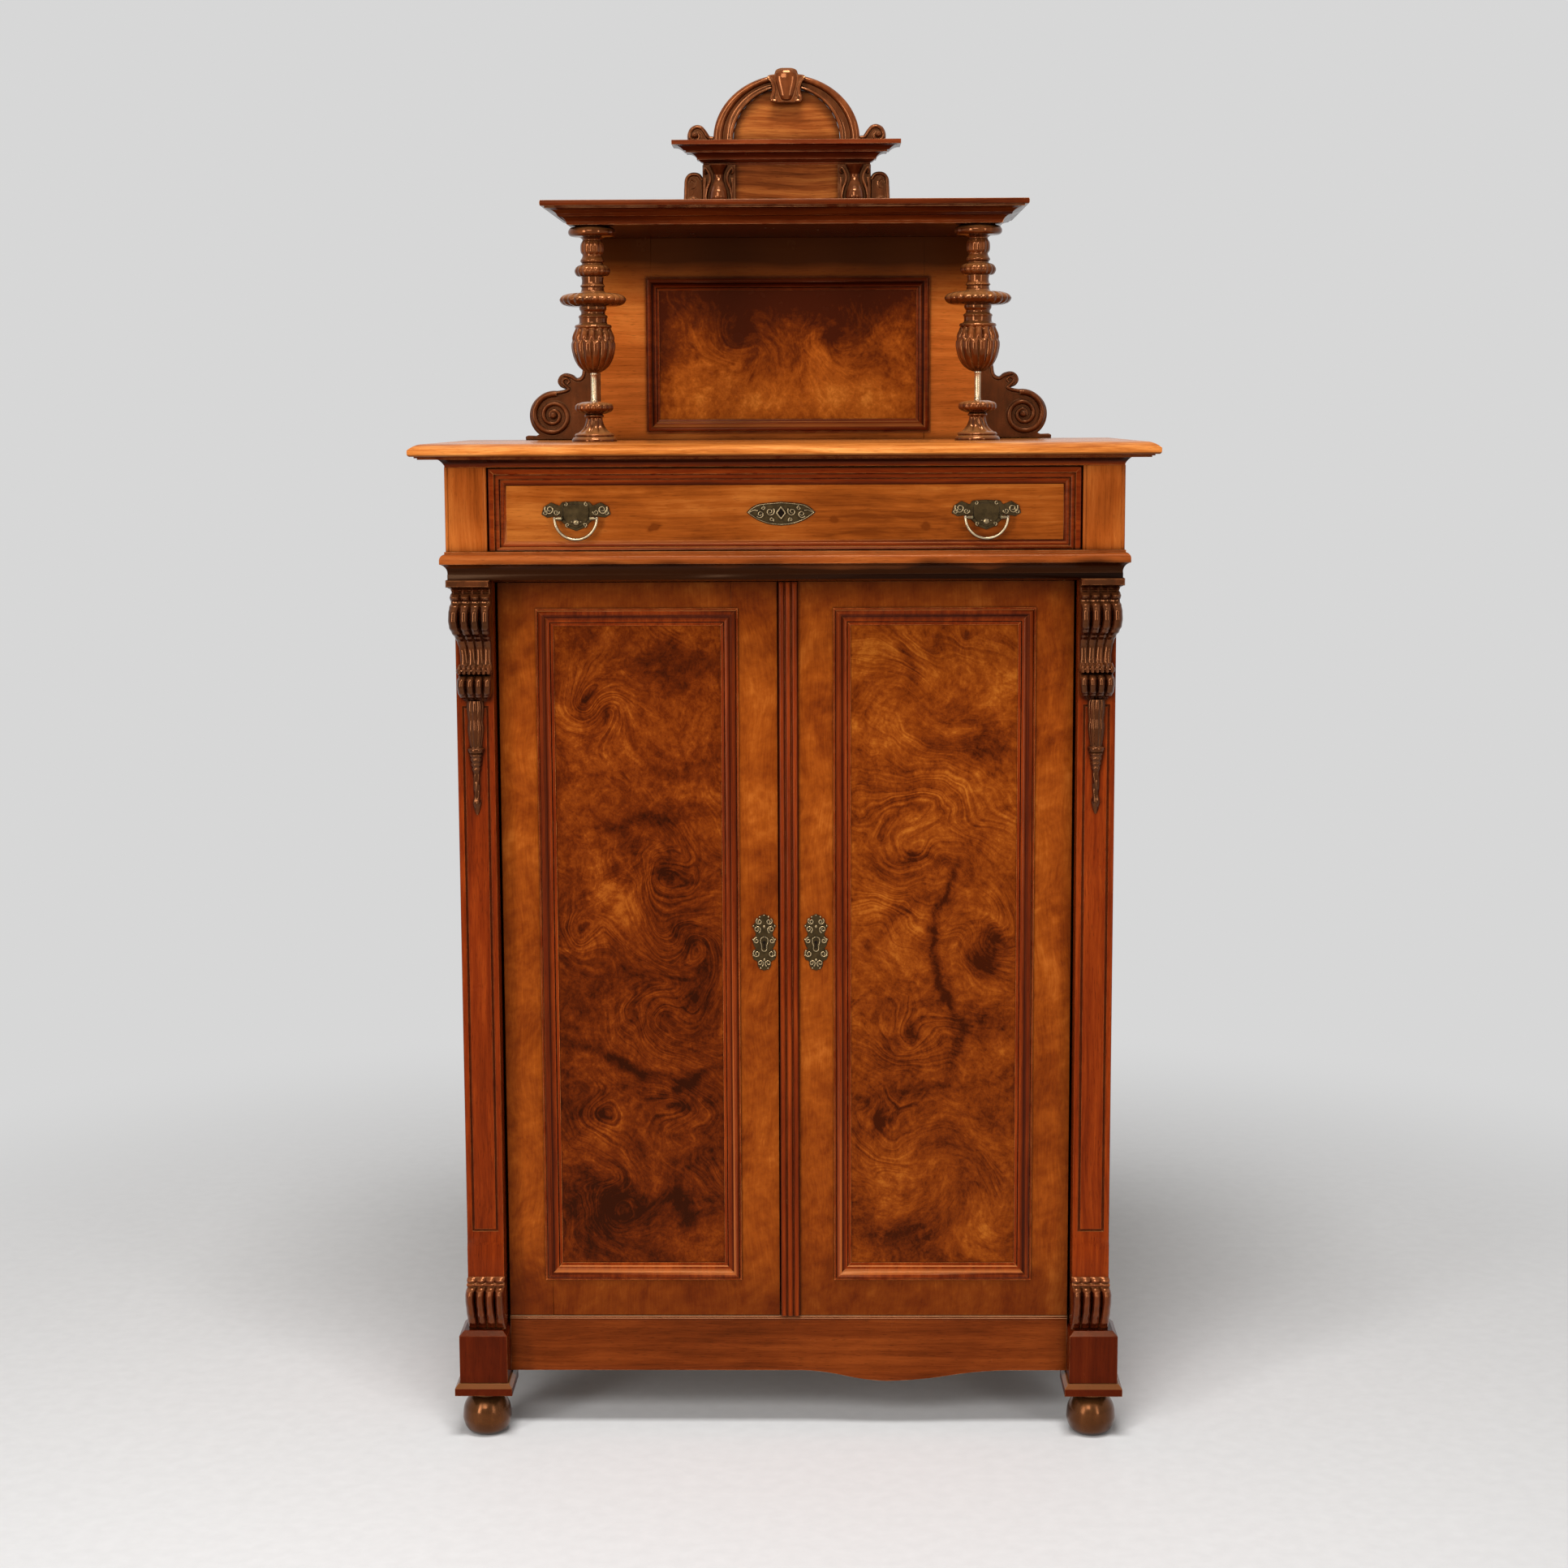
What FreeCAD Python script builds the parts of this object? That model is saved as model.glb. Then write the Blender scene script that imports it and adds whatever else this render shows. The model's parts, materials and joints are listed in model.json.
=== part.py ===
import FreeCAD, Part
import math
import os

os.makedirs("parts", exist_ok=True)
V = FreeCAD.Vector

# A tall show cabinet of walnut: two burr-panelled doors between pilasters, a drawer stage above them,
# and a gallery on turned columns that carries a small arched crest.
# Millimetres, +Z up. X runs to the viewer's right, the doors face -Y, and the origin is on the floor
# under the middle of the box that holds the cabinet.

# Driving sizes of the whole cabinet
slab_width = 1050.0
slab_depth = 540.0
slab_thickness = 17.5
case_width = 936.0
stage_width = 956.0
gallery_shelf_width = 700.0

# Heights, one storey on the other
ball_foot_height = 68.5
foot_plate_thickness = 17.5
plinth_block_height = 79.0
base_reeds_height = 81.0
base_block_height = 47.0
base_ledge_height = 6.0
pilaster_shaft_height = 979.0
waist_height = 40.0
drawer_stage_height = 135.0
gallery_column_height = 311.5
gallery_shelf_thickness = 33.0

# Setbacks of the front faces behind the slab's front edge
door_setback = 118.0
stage_setback = 55.0
waist_setback = 43.0
gallery_setback = 162.0

# Clearances
joint_gap = 1.5
slide_gap = 0.3
pin_clearance = 0.05
overrun = 25.0

# Pilasters, their plinths and feet
pilaster_width = 54.0
pilaster_depth = 58.0
pilaster_projection = 34.0
pilaster_side_proud = 5.5
pilaster_field_margin = 8.0
pilaster_groove_width = 3.0
pilaster_groove_depth = 2.5
base_block_proud = 3.0
base_bulge = 17.0
base_reed_spread = 4.0
plinth_block_width = 71.0
plinth_block_offset = 5.0
plinth_block_proud = 13.0
plinth_bevel = 7.0
foot_plate_overhang = 7.0
foot_plate_slope = 5.0
ball_foot_radius = 36.0

# Consoles under the drawer stage and their pendants
console_width = 60.0
console_depth = 38.0
console_height = 175.0
console_cap_height = 10.0
console_cap_overhang = 1.5
pendant_height = 166.0
pendant_radius = 16.5

# Case boards
side_thickness = 22.0
side_rail_width = 70.0
panel_tongue = 8.0
side_panel_thickness = 8.0
dust_board_thickness = 25.0
bottom_board_thickness = 22.0
waist_rail_depth = 95.0
back_board_thickness = 10.0
back_board_count = 3
back_board_joint = 1.0
shelf_count = 2
shelf_thickness = 18.0
shelf_setback = 30.0
cleat_height = 18.0
cleat_thickness = 14.0

# Apron between the front plinth blocks
apron_thickness = 24.0
apron_rise = 9.0
apron_hem = 3.6
apron_drop = 16.6
apron_drop_centre = 177.0
apron_drop_width = 310.0
apron_bead_height = 3.0
apron_bead_proud = 2.0

# Doors
door_thickness = 22.0
door_stile_width = 57.0
door_top_rail_width = 38.0
door_bottom_rail_width = 55.0
door_moulding_width = 25.0
door_moulding_proud = 5.5
door_panel_recess = 4.0
door_panel_thickness = 10.0
door_rebate = 10.0
door_moulding_inner_x = 69.0
meeting_offset = 11.45
strip_width = 28.5
strip_base = 3.5
strip_reed_count = 3
hinge_inset = 15.0
hinge_setback = 8.0
hinge_pin_radius = 3.0
hinge_plate_length = 44.0
hinge_plate_width = 12.0
hinge_plate_thickness = 2.5
hinge_plate_nose = 10.0
hinge_pin_spare = 1.0

# Door locks and bolts
escutcheon_thickness = 1.6
door_escutcheon_width = 34.0
door_escutcheon_height = 84.0
door_escutcheon_level = 742.0
door_escutcheon_left_x = -33.0
door_escutcheon_right_x = 43.0
keyhole_radius = 2.6
keyhole_drop = 9.0
lock_case_width = 62.0
lock_case_height = 60.0
lock_case_depth = 13.0
lock_bolt_height = 16.0
lock_bolt_thickness = 5.0
lock_bolt_length = 34.0
lock_bolt_travel = 10.0
lock_wall = 3.0
keeper_width = 24.0
door_bolt_width = 9.0
door_bolt_thickness = 5.0
door_bolt_length = 90.0
door_bolt_travel = 12.0
door_bolt_edge_distance = 20.0
door_bolt_rest_gap = 3.0
bolt_bracket_width = 18.0
bolt_bracket_depth = 12.0
bolt_bracket_height = 12.0
bolt_bracket_spacing = 50.0
bolt_strap_thickness = 4.0
bolt_thumb_height = 8.0
bolt_thumb_reach = 12.0

# Drawer stage
post_width = 59.5
post_side_proud = 3.0
post_depth = 40.0
post_bead_radius = 2.5
stage_side_thickness = 20.0
bed_moulding_height = 16.0
bed_moulding_width = 40.0
bed_core_inset = 3.0

# Drawer
drawer_face_setback = 15.0
drawer_front_thickness = 20.0
drawer_moulding_width = 25.0
drawer_moulding_proud = 11.0
drawer_moulding_foot_trim = 12.0
drawer_side_thickness = 12.0
drawer_rear_gap = 40.0
drawer_side_drop = 11.0
drawer_side_gap = 3.0
drawer_bottom_thickness = 6.0
drawer_bottom_lift = 8.0
drawer_groove_depth = 5.0
guide_height = 30.0
guide_width = 30.0
drawer_lock_width = 52.0
drawer_lock_height = 76.0
drawer_lock_depth = 11.0
drawer_lock_below_edge = 5.0
drawer_key_drop = 65.5
drawer_bolt_width = 22.0
drawer_bolt_height = 30.0
drawer_bolt_thickness = 5.0
drawer_bolt_travel = 12.0

# Drawer pulls and escutcheon
pull_spacing = 582.0
pull_offset = -5.0
pull_level_drop = 68.0
pull_plate_width = 98.0
pull_plate_height = 42.0
pull_boss_radius = 11.0
pull_boss_height = 3.0
bail_radius = 30.0
bail_wire_radius = 2.25
bail_stand_off = 11.0
bail_pin_radius = 1.6
bail_pin_length = 8.0
bail_pivot_drop = 3.0
pull_post_width = 8.0
pull_post_height = 7.0
pull_post_gap = 1.1
drawer_escutcheon_width = 98.0
drawer_escutcheon_height = 34.0

# Waist moulding
waist_side_proud = 11.0
waist_moulding_width = 24.0
waist_rail_cove = 38.0
waist_rail_drop = 6.0

# Slab edge
slab_edge_width = 21.5

# Gallery
gallery_cornice_width = 38.0
column_inset = 30.5
column_disc_radius = 48.5
column_rod_radius = 5.0
column_foot_share = 0.188
column_rod_share = 0.132
vase_share = 0.254
gadroon_count = 12
gadroon_depth_share = 0.14
gallery_board_half_width = 294.0
gallery_board_thickness = 20.0
gallery_back_inset = 12.0
gallery_panel_half_width = 222.0
gallery_panel_foot = 10.0
gallery_panel_head = 60.0
gallery_moulding_width = 21.0
gallery_moulding_proud = 6.0
gallery_panel_thickness = 8.0
gallery_panel_recess = 4.0
gallery_rebate = 9.0
wing_thickness = 20.0
wing_volute_offset = 75.0
wing_volute_radius = 38.0
wing_ear_offset = 54.0
wing_ear_level = 92.0
wing_ear_radius = 12.0
wing_top_level = 172.0
wing_toe_reach = 44.0
wing_toe_height = 7.0
volute_band_width = 9.0
volute_band_proud = 6.0
volute_eye_radius = 8.0
volute_turn_count = 1.6

# Crest
crest_face_setback = 455.0
crest_board_thickness = 20.0
crest_board_half_width = 129.0
crest_frieze_height = 73.0
crest_cornice_height = 34.0
crest_cornice_half_width = 174.0
crest_cornice_overhang = 46.0
crest_bracket_inner = 78.0
crest_bracket_width = 50.0
crest_bracket_depth = 30.0
crest_bracket_lobe_inset = 8.5
crest_bracket_lobe_width = 35.0
crest_scroll_width = 34.0
crest_scroll_height = 62.0
crest_scroll_thickness = 16.0
crest_base_strip = 4.0
arch_outer_half_width = 112.0
arch_outer_rise = 97.0
arch_inner_half_width = 82.0
arch_inner_rise = 78.0
arch_thickness = 24.0
arch_groove_width = 4.0
arch_groove_depth = 3.0
lunette_thickness = 10.0
keystone_width = 36.0
keystone_top_width = 60.0
keystone_height = 52.0
keystone_rise = 9.0
keystone_proud = 9.0
keystone_fin_proud = 4.0
ear_scroll_width = 40.0
ear_scroll_height = 27.0

# Levels, counted up from the floor
plate_top = ball_foot_height + foot_plate_thickness
block_top = plate_top + plinth_block_height
reeds_top = block_top + base_reeds_height
base_block_top = reeds_top + base_block_height
shaft_bottom = base_block_top + base_ledge_height
waist_bottom = shaft_bottom + pilaster_shaft_height
waist_top = waist_bottom + waist_height
slab_bottom = waist_top + drawer_stage_height
slab_top = slab_bottom + slab_thickness
soffit = slab_top + gallery_column_height
gallery_top = soffit + gallery_shelf_thickness
dust_board_bottom = waist_top - dust_board_thickness
stage_opening_top = slab_bottom - bed_moulding_height
frieze_top = gallery_top + crest_frieze_height
crest_cornice_top = frieze_top + crest_cornice_height

# Faces across the depth
front = -slab_depth / 2
back = slab_depth / 2
door_face = front + door_setback
door_back = door_face + door_thickness
pilaster_face = door_face - pilaster_projection
pilaster_back = pilaster_face + pilaster_depth
block_face = pilaster_face - plinth_block_proud
stage_face = front + stage_setback
waist_face = front + waist_setback
waist_core_face = waist_face + waist_moulding_width
gallery_front = front + gallery_setback
back_inner = back - back_board_thickness
crest_face = front + crest_face_setback

# Half widths, measured from the middle
case_side = case_width / 2
case_inner = case_side - side_thickness
stage_side = stage_width / 2
stage_inner = stage_side - stage_side_thickness
pilaster_outer = case_side + pilaster_side_proud
pilaster_inner = pilaster_outer - pilaster_width
pilaster_middle = (pilaster_outer + pilaster_inner) / 2
post_outer = stage_side + post_side_proud
post_inner = post_outer - post_width
block_middle = pilaster_middle + plinth_block_offset
block_inner = block_middle - plinth_block_width / 2
gallery_core_half = gallery_shelf_width / 2 - gallery_cornice_width
gallery_core_front = gallery_front + gallery_cornice_width
column_x = gallery_core_half - column_inset
column_y = gallery_core_front + column_inset

# Door and drawer openings
apron_top = block_top + apron_rise
door_bottom = apron_top + joint_gap
waist_rail_bottom = waist_bottom - waist_rail_drop
door_top = waist_rail_bottom - joint_gap
door_outer = pilaster_inner - joint_gap
hinge_x = door_outer - hinge_inset
hinge_y = door_face + hinge_setback


# Shapes that many pieces share

flat_tolerance_share = 1e-9


def box(x0, x1, y0, y1, z0, z1):
    return Part.makeBox(x1 - x0, y1 - y0, z1 - z0, V(x0, y0, z0))


def outline(points, place):
    """A flat face from points (a, b), or (a, b, bulge) where an arc rises by that share of its chord."""
    edges = []
    last = points[0]
    for point in points[1:] + [points[0][:2]]:
        a = place(last[0], last[1])
        b = place(point[0], point[1])
        if (b - a).Length > slab_width * flat_tolerance_share:
            if len(point) == 3:
                mid_a = (last[0] + point[0]) / 2 + point[2] * (point[1] - last[1])
                mid_b = (last[1] + point[1]) / 2 - point[2] * (point[0] - last[0])
                edges.append(Part.Arc(a, place(mid_a, mid_b), b).toShape())
            else:
                edges.append(Part.LineSegment(a, b).toShape())
        last = point
    return Part.Face(Part.Wire(edges))


def scaled(shares, width, height):
    """An outline's shares, turned into sizes."""
    return [(p[0] * width, p[1] * height) + tuple(p[2:]) for p in shares]


def plate_xz(points, y0, y1):
    """A plate that stands across the depth, from an outline in x and z."""
    face = outline(points, lambda a, b: V(a, y0, b))
    return face.extrude(V(0, y1 - y0, 0))


def plate_yz(points, x0, x1):
    face = outline(points, lambda a, b: V(x0, a, b))
    return face.extrude(V(x1 - x0, 0, 0))


def plate_xy(points, z0, z1):
    face = outline(points, lambda a, b: V(a, b, z0))
    return face.extrude(V(0, 0, z1 - z0))


def cylinder(radius, length, start, direction):
    return Part.makeCylinder(radius, length, start, direction)


turning_flat_count = 14
flatness_share = 1e-6


def flat_faces(corners):
    """One flat face through four corners, or two where they don't lie in one plane."""
    a, b, c, d = corners
    normal = (b - a).cross(c - a)
    if abs(normal.dot(d - a)) <= flatness_share * normal.Length * (d - a).Length:
        return [Part.Face(Part.makePolygon([a, b, c, d, a]))]
    return [Part.Face(Part.makePolygon([a, b, c, a])), Part.Face(Part.makePolygon([a, c, d, a]))]


def ruled_solid(rings):
    """A solid with flat faces from each closed ring of points to the next, and a flat end on each side."""
    faces = [Part.Face(Part.makePolygon(ring + ring[:1])) for ring in (rings[0], rings[-1])]
    for low, high in zip(rings, rings[1:]):
        for i in range(len(low)):
            j = (i + 1) % len(low)
            faces += flat_faces([low[i], low[j], high[j], high[i]])
    shell = Part.makeShell(faces)
    shell.sewShape()
    solid = Part.Solid(shell)
    if solid.Volume < 0:
        solid.reverse()
    return solid


def turned(points, x, y, z):
    """A turning about an upright axis, from (radius, height) points, with narrow flats round it."""
    rings = []
    for radius, height in points:
        angles = [math.tau * (i + 0.5) / turning_flat_count for i in range(turning_flat_count)]
        rings.append([V(x + radius * math.cos(t), y + radius * math.sin(t), z + height) for t in angles])
    return ruled_solid(rings)


def mirrored(shape):
    return shape.mirror(V(0, 0, 0), V(1, 0, 0))


def pair(shape):
    """The piece on the right and its mirror image on the left."""
    return [shape, mirrored(shape)]


def beyond(point, normal):
    """A block that holds everything on the far side of a plane, for trimming mitres."""
    size = (slab_width + crest_cornice_top) * 2
    block = Part.makeBox(size, size, size, V(-size / 2, -size / 2, 0))
    block.Placement = FreeCAD.Placement(point, FreeCAD.Rotation(V(0, 0, 1), normal))
    return block


def moulding(path, section, rise, closed=False):
    """One stick for each straight run of a path, mitred where two runs meet.

    The section's first size points to the right of the run as seen against the rise, its second up the rise.
    """
    count = len(path)
    runs = count if closed else count - 1
    reach = max(abs(p[0]) for p in section) + overrun
    sticks = []
    for i in range(runs):
        start = path[i]
        end = path[(i + 1) % count]
        along = (end - start).normalize()
        side = along.cross(rise)
        opens = closed or i > 0
        closes = closed or i < runs - 1
        head = start - along * (reach if opens else 0)
        tail = end + along * (reach if closes else 0)
        face = outline(section, lambda a, b: head + side * a + rise * b)
        stick = face.extrude(tail - head)
        if opens:
            before = (start - path[i - 1]).normalize()
            stick = stick.cut(beyond(start, (before + along) * -1))
        if closes:
            after = (path[(i + 2) % count] - end).normalize()
            stick = stick.cut(beyond(end, after + along))
        sticks.append(stick)
    return sticks


def edged_board(x0, x1, y0, y1, z0, z1, edge_shares, edge_width, moulded_back=False):
    """A board whose front and ends carry a moulded edge, given from the underside up as inset and height."""
    thick = z1 - z0
    right = [(x1 - p[0] * edge_width, z0 + p[1] * thick) + tuple(p[2:]) for p in edge_shares]
    left = [(x0 + p[0] * edge_width, z0 + p[1] * thick) + tuple(-b for b in p[2:]) for p in edge_shares]
    across = plate_xz(reversed_outline(left) + right, y0, y1)
    near = [(y0 + p[0] * edge_width, z0 + p[1] * thick) + tuple(-b for b in p[2:]) for p in edge_shares]
    far = [(y1, z0), (y1, z1)]
    if moulded_back:
        far = [(y1 - p[0] * edge_width, z0 + p[1] * thick) + tuple(p[2:]) for p in edge_shares]
    along = plate_yz(reversed_outline(near) + far, x0, x1)
    return across.common(along)


def reversed_outline(points):
    """The same run of an outline from its end to its start, with each bulge on the same stretch."""
    result = [points[-1][:2]]
    for i in range(len(points) - 1, 0, -1):
        turned_bulge = tuple(-b for b in points[i][2:])
        result.append(tuple(points[i - 1][:2]) + turned_bulge)
    return result


# Where a reed's or gadroon's facets turn, as (place across it, height over its root)
reed_facet_shares = [(0, 0), (0.24, 0.80), (0.76, 0.80)]


def reeded_block(levels, y_back, reeds, swell_share):
    """A carved block whose front is a row of upright reeds.

    Each level is (height, left, right, depth). The back stays flat against y_back.
    """
    rings = []
    for z, left, right, depth in levels:
        y_root = y_back - depth * (1 - swell_share)
        step = (right - left) / reeds
        ring = [V(left, y_back, z)]
        for i in range(reeds):
            for across, height in reed_facet_shares:
                ring.append(V(left + step * (i + across), y_root - depth * swell_share * height, z))
        ring += [V(right, y_root, z), V(right, y_back, z)]
        rings.append(ring)
    return ruled_solid(rings)


def lobed_turning(levels, x, y, lobes, cut_share):
    """A gadrooned turning: rings of lobes, each level given as (height, outer radius)."""
    rings = []
    for z, radius in levels:
        ring = []
        for i in range(lobes):
            for across, height in reed_facet_shares:
                angle = math.tau * (i + across) / lobes
                r = radius * (1 - cut_share * (1 - height))
                ring.append(V(x + r * math.cos(angle), y + r * math.sin(angle), z))
        rings.append(ring)
    return ruled_solid(rings)


def bent_bar(radius, bar_radius, centre, start_angle, sweep, sides, steps):
    """A bar bent round an arc that stands across the depth, with flat facets along it."""
    rings = []
    for i in range(steps + 1):
        angle = start_angle + sweep * i / steps
        ring = []
        for k in range(sides):
            turn = math.tau * (k + 0.5) / sides
            r = radius + bar_radius * math.cos(turn)
            ring.append(centre + V(r * math.cos(angle), bar_radius * math.sin(turn), r * math.sin(angle)))
        rings.append(ring)
    return ruled_solid(rings)


def flat_arc(x, z, radius_x, radius_z, start_angle, sweep, flats):
    """The points of an arc of an ellipse that is made of flats."""
    angles = [start_angle + sweep * i / flats for i in range(flats + 1)]
    return [(x + radius_x * math.cos(t), z + radius_z * math.sin(t)) for t in angles]


def flat_ring(x, z, radius, flats):
    return flat_arc(x, z, radius, radius, -math.pi / 2, math.tau, flats)[:-1]


boss_facet_count = 10
boss_shoulder_share = 0.88
boss_top_share = 0.5


def domed_boss(x, z, radius, y0, y1):
    """A low boss on an upright face, narrowing to half its radius at y1."""
    rings = []
    for y, share in ((y0, 1), ((y0 + y1) / 2, boss_shoulder_share), (y1, boss_top_share)):
        angles = [math.tau * i / boss_facet_count for i in range(boss_facet_count)]
        r = radius * share
        rings.append([V(x + r * math.cos(t), y, z + r * math.sin(t)) for t in angles])
    return ruled_solid(rings)


spiral_step_count = 10
spiral_ease_share = 0.12
spiral_end_share = 1.6


def spiral_band(x, z, radius, band, turns, y0, y1, start_angle, hand):
    """A raised band that winds in towards a volute's eye, its pitch closing as it goes."""
    pitch = (radius - band * spiral_end_share) / turns

    def edge(shift):
        points = []
        for i in range(int(spiral_step_count * turns) + 1):
            turn = i / spiral_step_count
            r = radius - shift - pitch * turn * (1 - spiral_ease_share * turn)
            angle = start_angle + hand * math.tau * turn
            points.append((x + r * math.cos(angle), z + r * math.sin(angle)))
        return points

    return plate_xz(edge(0) + edge(band)[::-1], y0, y1)


nodes = {}


def add(name, *solids):
    """Collect a node's solids under its name."""
    kept = []
    for item in solids:
        for solid in (item if isinstance(item, list) else [item]):
            kept += solid.Solids
    nodes[name] = Part.makeCompound(kept)


# Feet, plinth blocks and the reeded bases of the pilasters

ball_foot_shares = [(0.52, 0), (0.88, 0.16), (1, 0.42), (0.88, 0.68), (0.60, 0.86), (0.74, 0.90), (0.74, 1)]
block_edge_shares = [(0, 0), (0, 1 - plinth_bevel / plinth_block_height), (1, 1)]
foot_edge_shares = [(0, 0), (0, 0.62), (1, 1)]
block_centre_y = block_face + plinth_block_width / 2
rear_block_centre_y = back - foot_plate_overhang - plinth_block_width / 2


def square_on(y, half, z0, z1, edge_shares, edge_width):
    x = block_middle
    return edged_board(x - half, x + half, y - half, y + half, z0, z1, edge_shares, edge_width, True)


feet = []
foot_plates = []
plinth_blocks = []
for centre_y in (block_centre_y, rear_block_centre_y):
    profile = scaled(ball_foot_shares, ball_foot_radius, ball_foot_height)
    feet += pair(turned(profile, block_middle, centre_y, 0))
    half_plate = plinth_block_width / 2 + foot_plate_overhang
    plate = square_on(centre_y, half_plate, ball_foot_height, plate_top, foot_edge_shares, foot_plate_slope)
    foot_plates += pair(plate)
    half_block = plinth_block_width / 2
    block = square_on(centre_y, half_block, plate_top, block_top, block_edge_shares, plinth_bevel)
    plinth_blocks += pair(block)
add("ball_feet", feet)
add("foot_plates", foot_plates)
add("plinth_blocks", plinth_blocks)

# Height, spread past the pilaster's outer side and bulge past its face, as shares from the foot to the top
base_level_shares = [(0, 0, 0.10), (0.05, 0.30, 0.20), (0.16, 0.50, 0.42), (0.36, 0.80, 0.80), (0.56, 1, 1),
                     (0.72, 0.90, 0.94), (0.80, 0.30, 0.48), (0.84, 0.20, 0.36), (0.87, 0.60, 0.62),
                     (0.93, 0.60, 0.62), (0.96, 0, 0.20), (1, 0, 0.16)]
base_reed_count = 4
base_swell_share = 0.07


def pilaster_base():
    """A carved cushion of upright reeds under the pilaster, as deep as the post above it."""
    levels = []
    for height, spread, bulge in base_level_shares:
        z = block_top + height * base_reeds_height
        right = pilaster_outer + base_reed_spread * spread
        levels.append((z, pilaster_inner, right, pilaster_depth + base_bulge * bulge))
    return reeded_block(levels, pilaster_back, base_reed_count, base_swell_share)


add("pilaster_bases", pair(pilaster_base()))


# Pilasters, consoles and pendants

console_bottom = waist_bottom - console_height
panel_outer = case_side - (side_thickness - side_panel_thickness) / 2
panel_inner = panel_outer - side_panel_thickness
side_rail_foot = plate_top + apron_hem
side_opening_bottom = reeds_top + panel_tongue
side_opening_top = waist_bottom - side_rail_width


def pilaster():
    x0, x1 = pilaster_inner, pilaster_outer
    shaft = box(x0, x1, pilaster_face, pilaster_back, shaft_bottom, waist_bottom)
    block = box(x0, x1, pilaster_face - base_block_proud, pilaster_back, reeds_top, base_block_top)
    ledge_points = [(pilaster_face - base_block_proud, base_block_top), (pilaster_face, shaft_bottom),
                    (pilaster_back, shaft_bottom), (pilaster_back, base_block_top)]
    ledge = plate_yz(ledge_points, x0, x1)
    post = shaft.fuse([block, ledge]).removeSplitter()
    inset = pilaster_field_margin
    low = shaft_bottom + inset * 2
    high = console_bottom - inset
    face = pilaster_face
    deep = face + pilaster_groove_depth
    groove = pilaster_groove_width
    outer = box(x0 + inset, x1 - inset, face - overrun, deep, low, high)
    inset += groove
    core = box(x0 + inset, x1 - inset, face - overrun, deep, low + groove, high - groove)
    post = post.cut(outer.cut(core))
    slot = box(panel_inner, panel_outer, pilaster_back - panel_tongue, pilaster_back + overrun,
               side_opening_bottom - panel_tongue, side_opening_top + panel_tongue)
    return post.cut(slot)


add("pilasters", pair(pilaster()))

# Height, width and depth of the console, as shares from its foot to its cap
console_level_shares = [(0, 0.70, 0.20), (0.05, 0.78, 0.46), (0.14, 0.82, 0.66), (0.23, 0.79, 0.58),
                        (0.28, 0.75, 0.32), (0.45, 0.76, 0.30), (0.57, 0.83, 0.56), (0.66, 0.94, 0.88),
                        (0.74, 1, 0.98), (0.83, 0.98, 0.88), (0.88, 0.93, 0.68), (1, 0.95, 0.76)]
console_reed_count = 4
console_swell_share = 0.16
pendant_shares = [(0.10, 0), (0.34, 0.06), (0.32, 0.38), (0.55, 0.40), (0.40, 0.50), (0.80, 0.54),
                  (0.80, 0.60), (0.62, 0.64), (0.86, 0.84), (1, 0.97), (0.90, 1)]


def console():
    carved_height = console_height - console_cap_height
    levels = []
    for height, width, depth in console_level_shares:
        right = pilaster_inner + width * console_width
        z = console_bottom + height * carved_height
        levels.append((z, pilaster_inner, right, depth * console_depth))
    carved = reeded_block(levels, pilaster_face, console_reed_count, console_swell_share)
    cap_front = pilaster_face - console_depth - console_cap_overhang
    cap_outer = pilaster_inner + console_width + console_cap_overhang
    top = levels[-1][0]
    cap = box(pilaster_inner, cap_outer, cap_front, pilaster_face, top, waist_bottom)
    return carved.fuse(cap)


def pendant():
    profile = scaled(pendant_shares, pendant_radius, pendant_height)
    drop = turned(profile, pilaster_middle, pilaster_face, console_bottom - pendant_height)
    return drop.cut(beyond(V(pilaster_middle, pilaster_face, 0), V(0, 1, 0)))


right_console = console()
right_pendant = pendant()
add("console_right", right_console)
add("console_left", mirrored(right_console))
add("pendants", pair(right_pendant))


# Case boards, apron and back

rear_stile_front = rear_block_centre_y - plinth_block_width / 2


def side_frame():
    """Rear stile, top rail and bottom rail of one panelled side, grooved for the panel."""
    x0, x1 = case_inner, case_side
    stile = box(x0, x1, rear_stile_front, back, block_top, waist_bottom)
    top = box(x0, x1, pilaster_back, rear_stile_front, side_opening_top, waist_bottom)
    foot = box(x0, x1, pilaster_back, rear_stile_front, side_rail_foot, side_opening_bottom)
    slot = box(panel_inner, panel_outer, pilaster_back - overrun, rear_stile_front + panel_tongue,
               side_opening_bottom - panel_tongue, side_opening_top + panel_tongue)
    return [piece.cut(slot) for piece in (stile, top, foot)]


frames = []
for piece in side_frame():
    frames += pair(piece)
add("side_frames", frames)
side_panel = box(panel_inner, panel_outer, pilaster_back - panel_tongue, rear_stile_front + panel_tongue,
                 side_opening_bottom - panel_tongue, side_opening_top + panel_tongue)
add("side_panels", pair(side_panel))

bottom_board_low = apron_top - bottom_board_thickness
bottom_board = box(-case_inner, case_inner, pilaster_back, back_inner, bottom_board_low, apron_top)
for notch in pair(box(block_inner, case_inner, rear_stile_front, back_inner, bottom_board_low, block_top)):
    bottom_board = bottom_board.cut(notch)
door_bolt_y = door_back + bolt_strap_thickness
left_free_edge = -(meeting_offset + joint_gap / 2)
right_free_edge = -meeting_offset + joint_gap / 2
door_bolt_x = left_free_edge - door_bolt_edge_distance


def door_bolt_bar(z0, z1, gap):
    """The flat bar of a slide bolt, or with a gap the mortise that it moves in."""
    half = door_bolt_width / 2 + gap
    return box(door_bolt_x - half, door_bolt_x + half, door_bolt_y - gap,
               door_bolt_y + door_bolt_thickness + gap, z0, z1)


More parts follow.
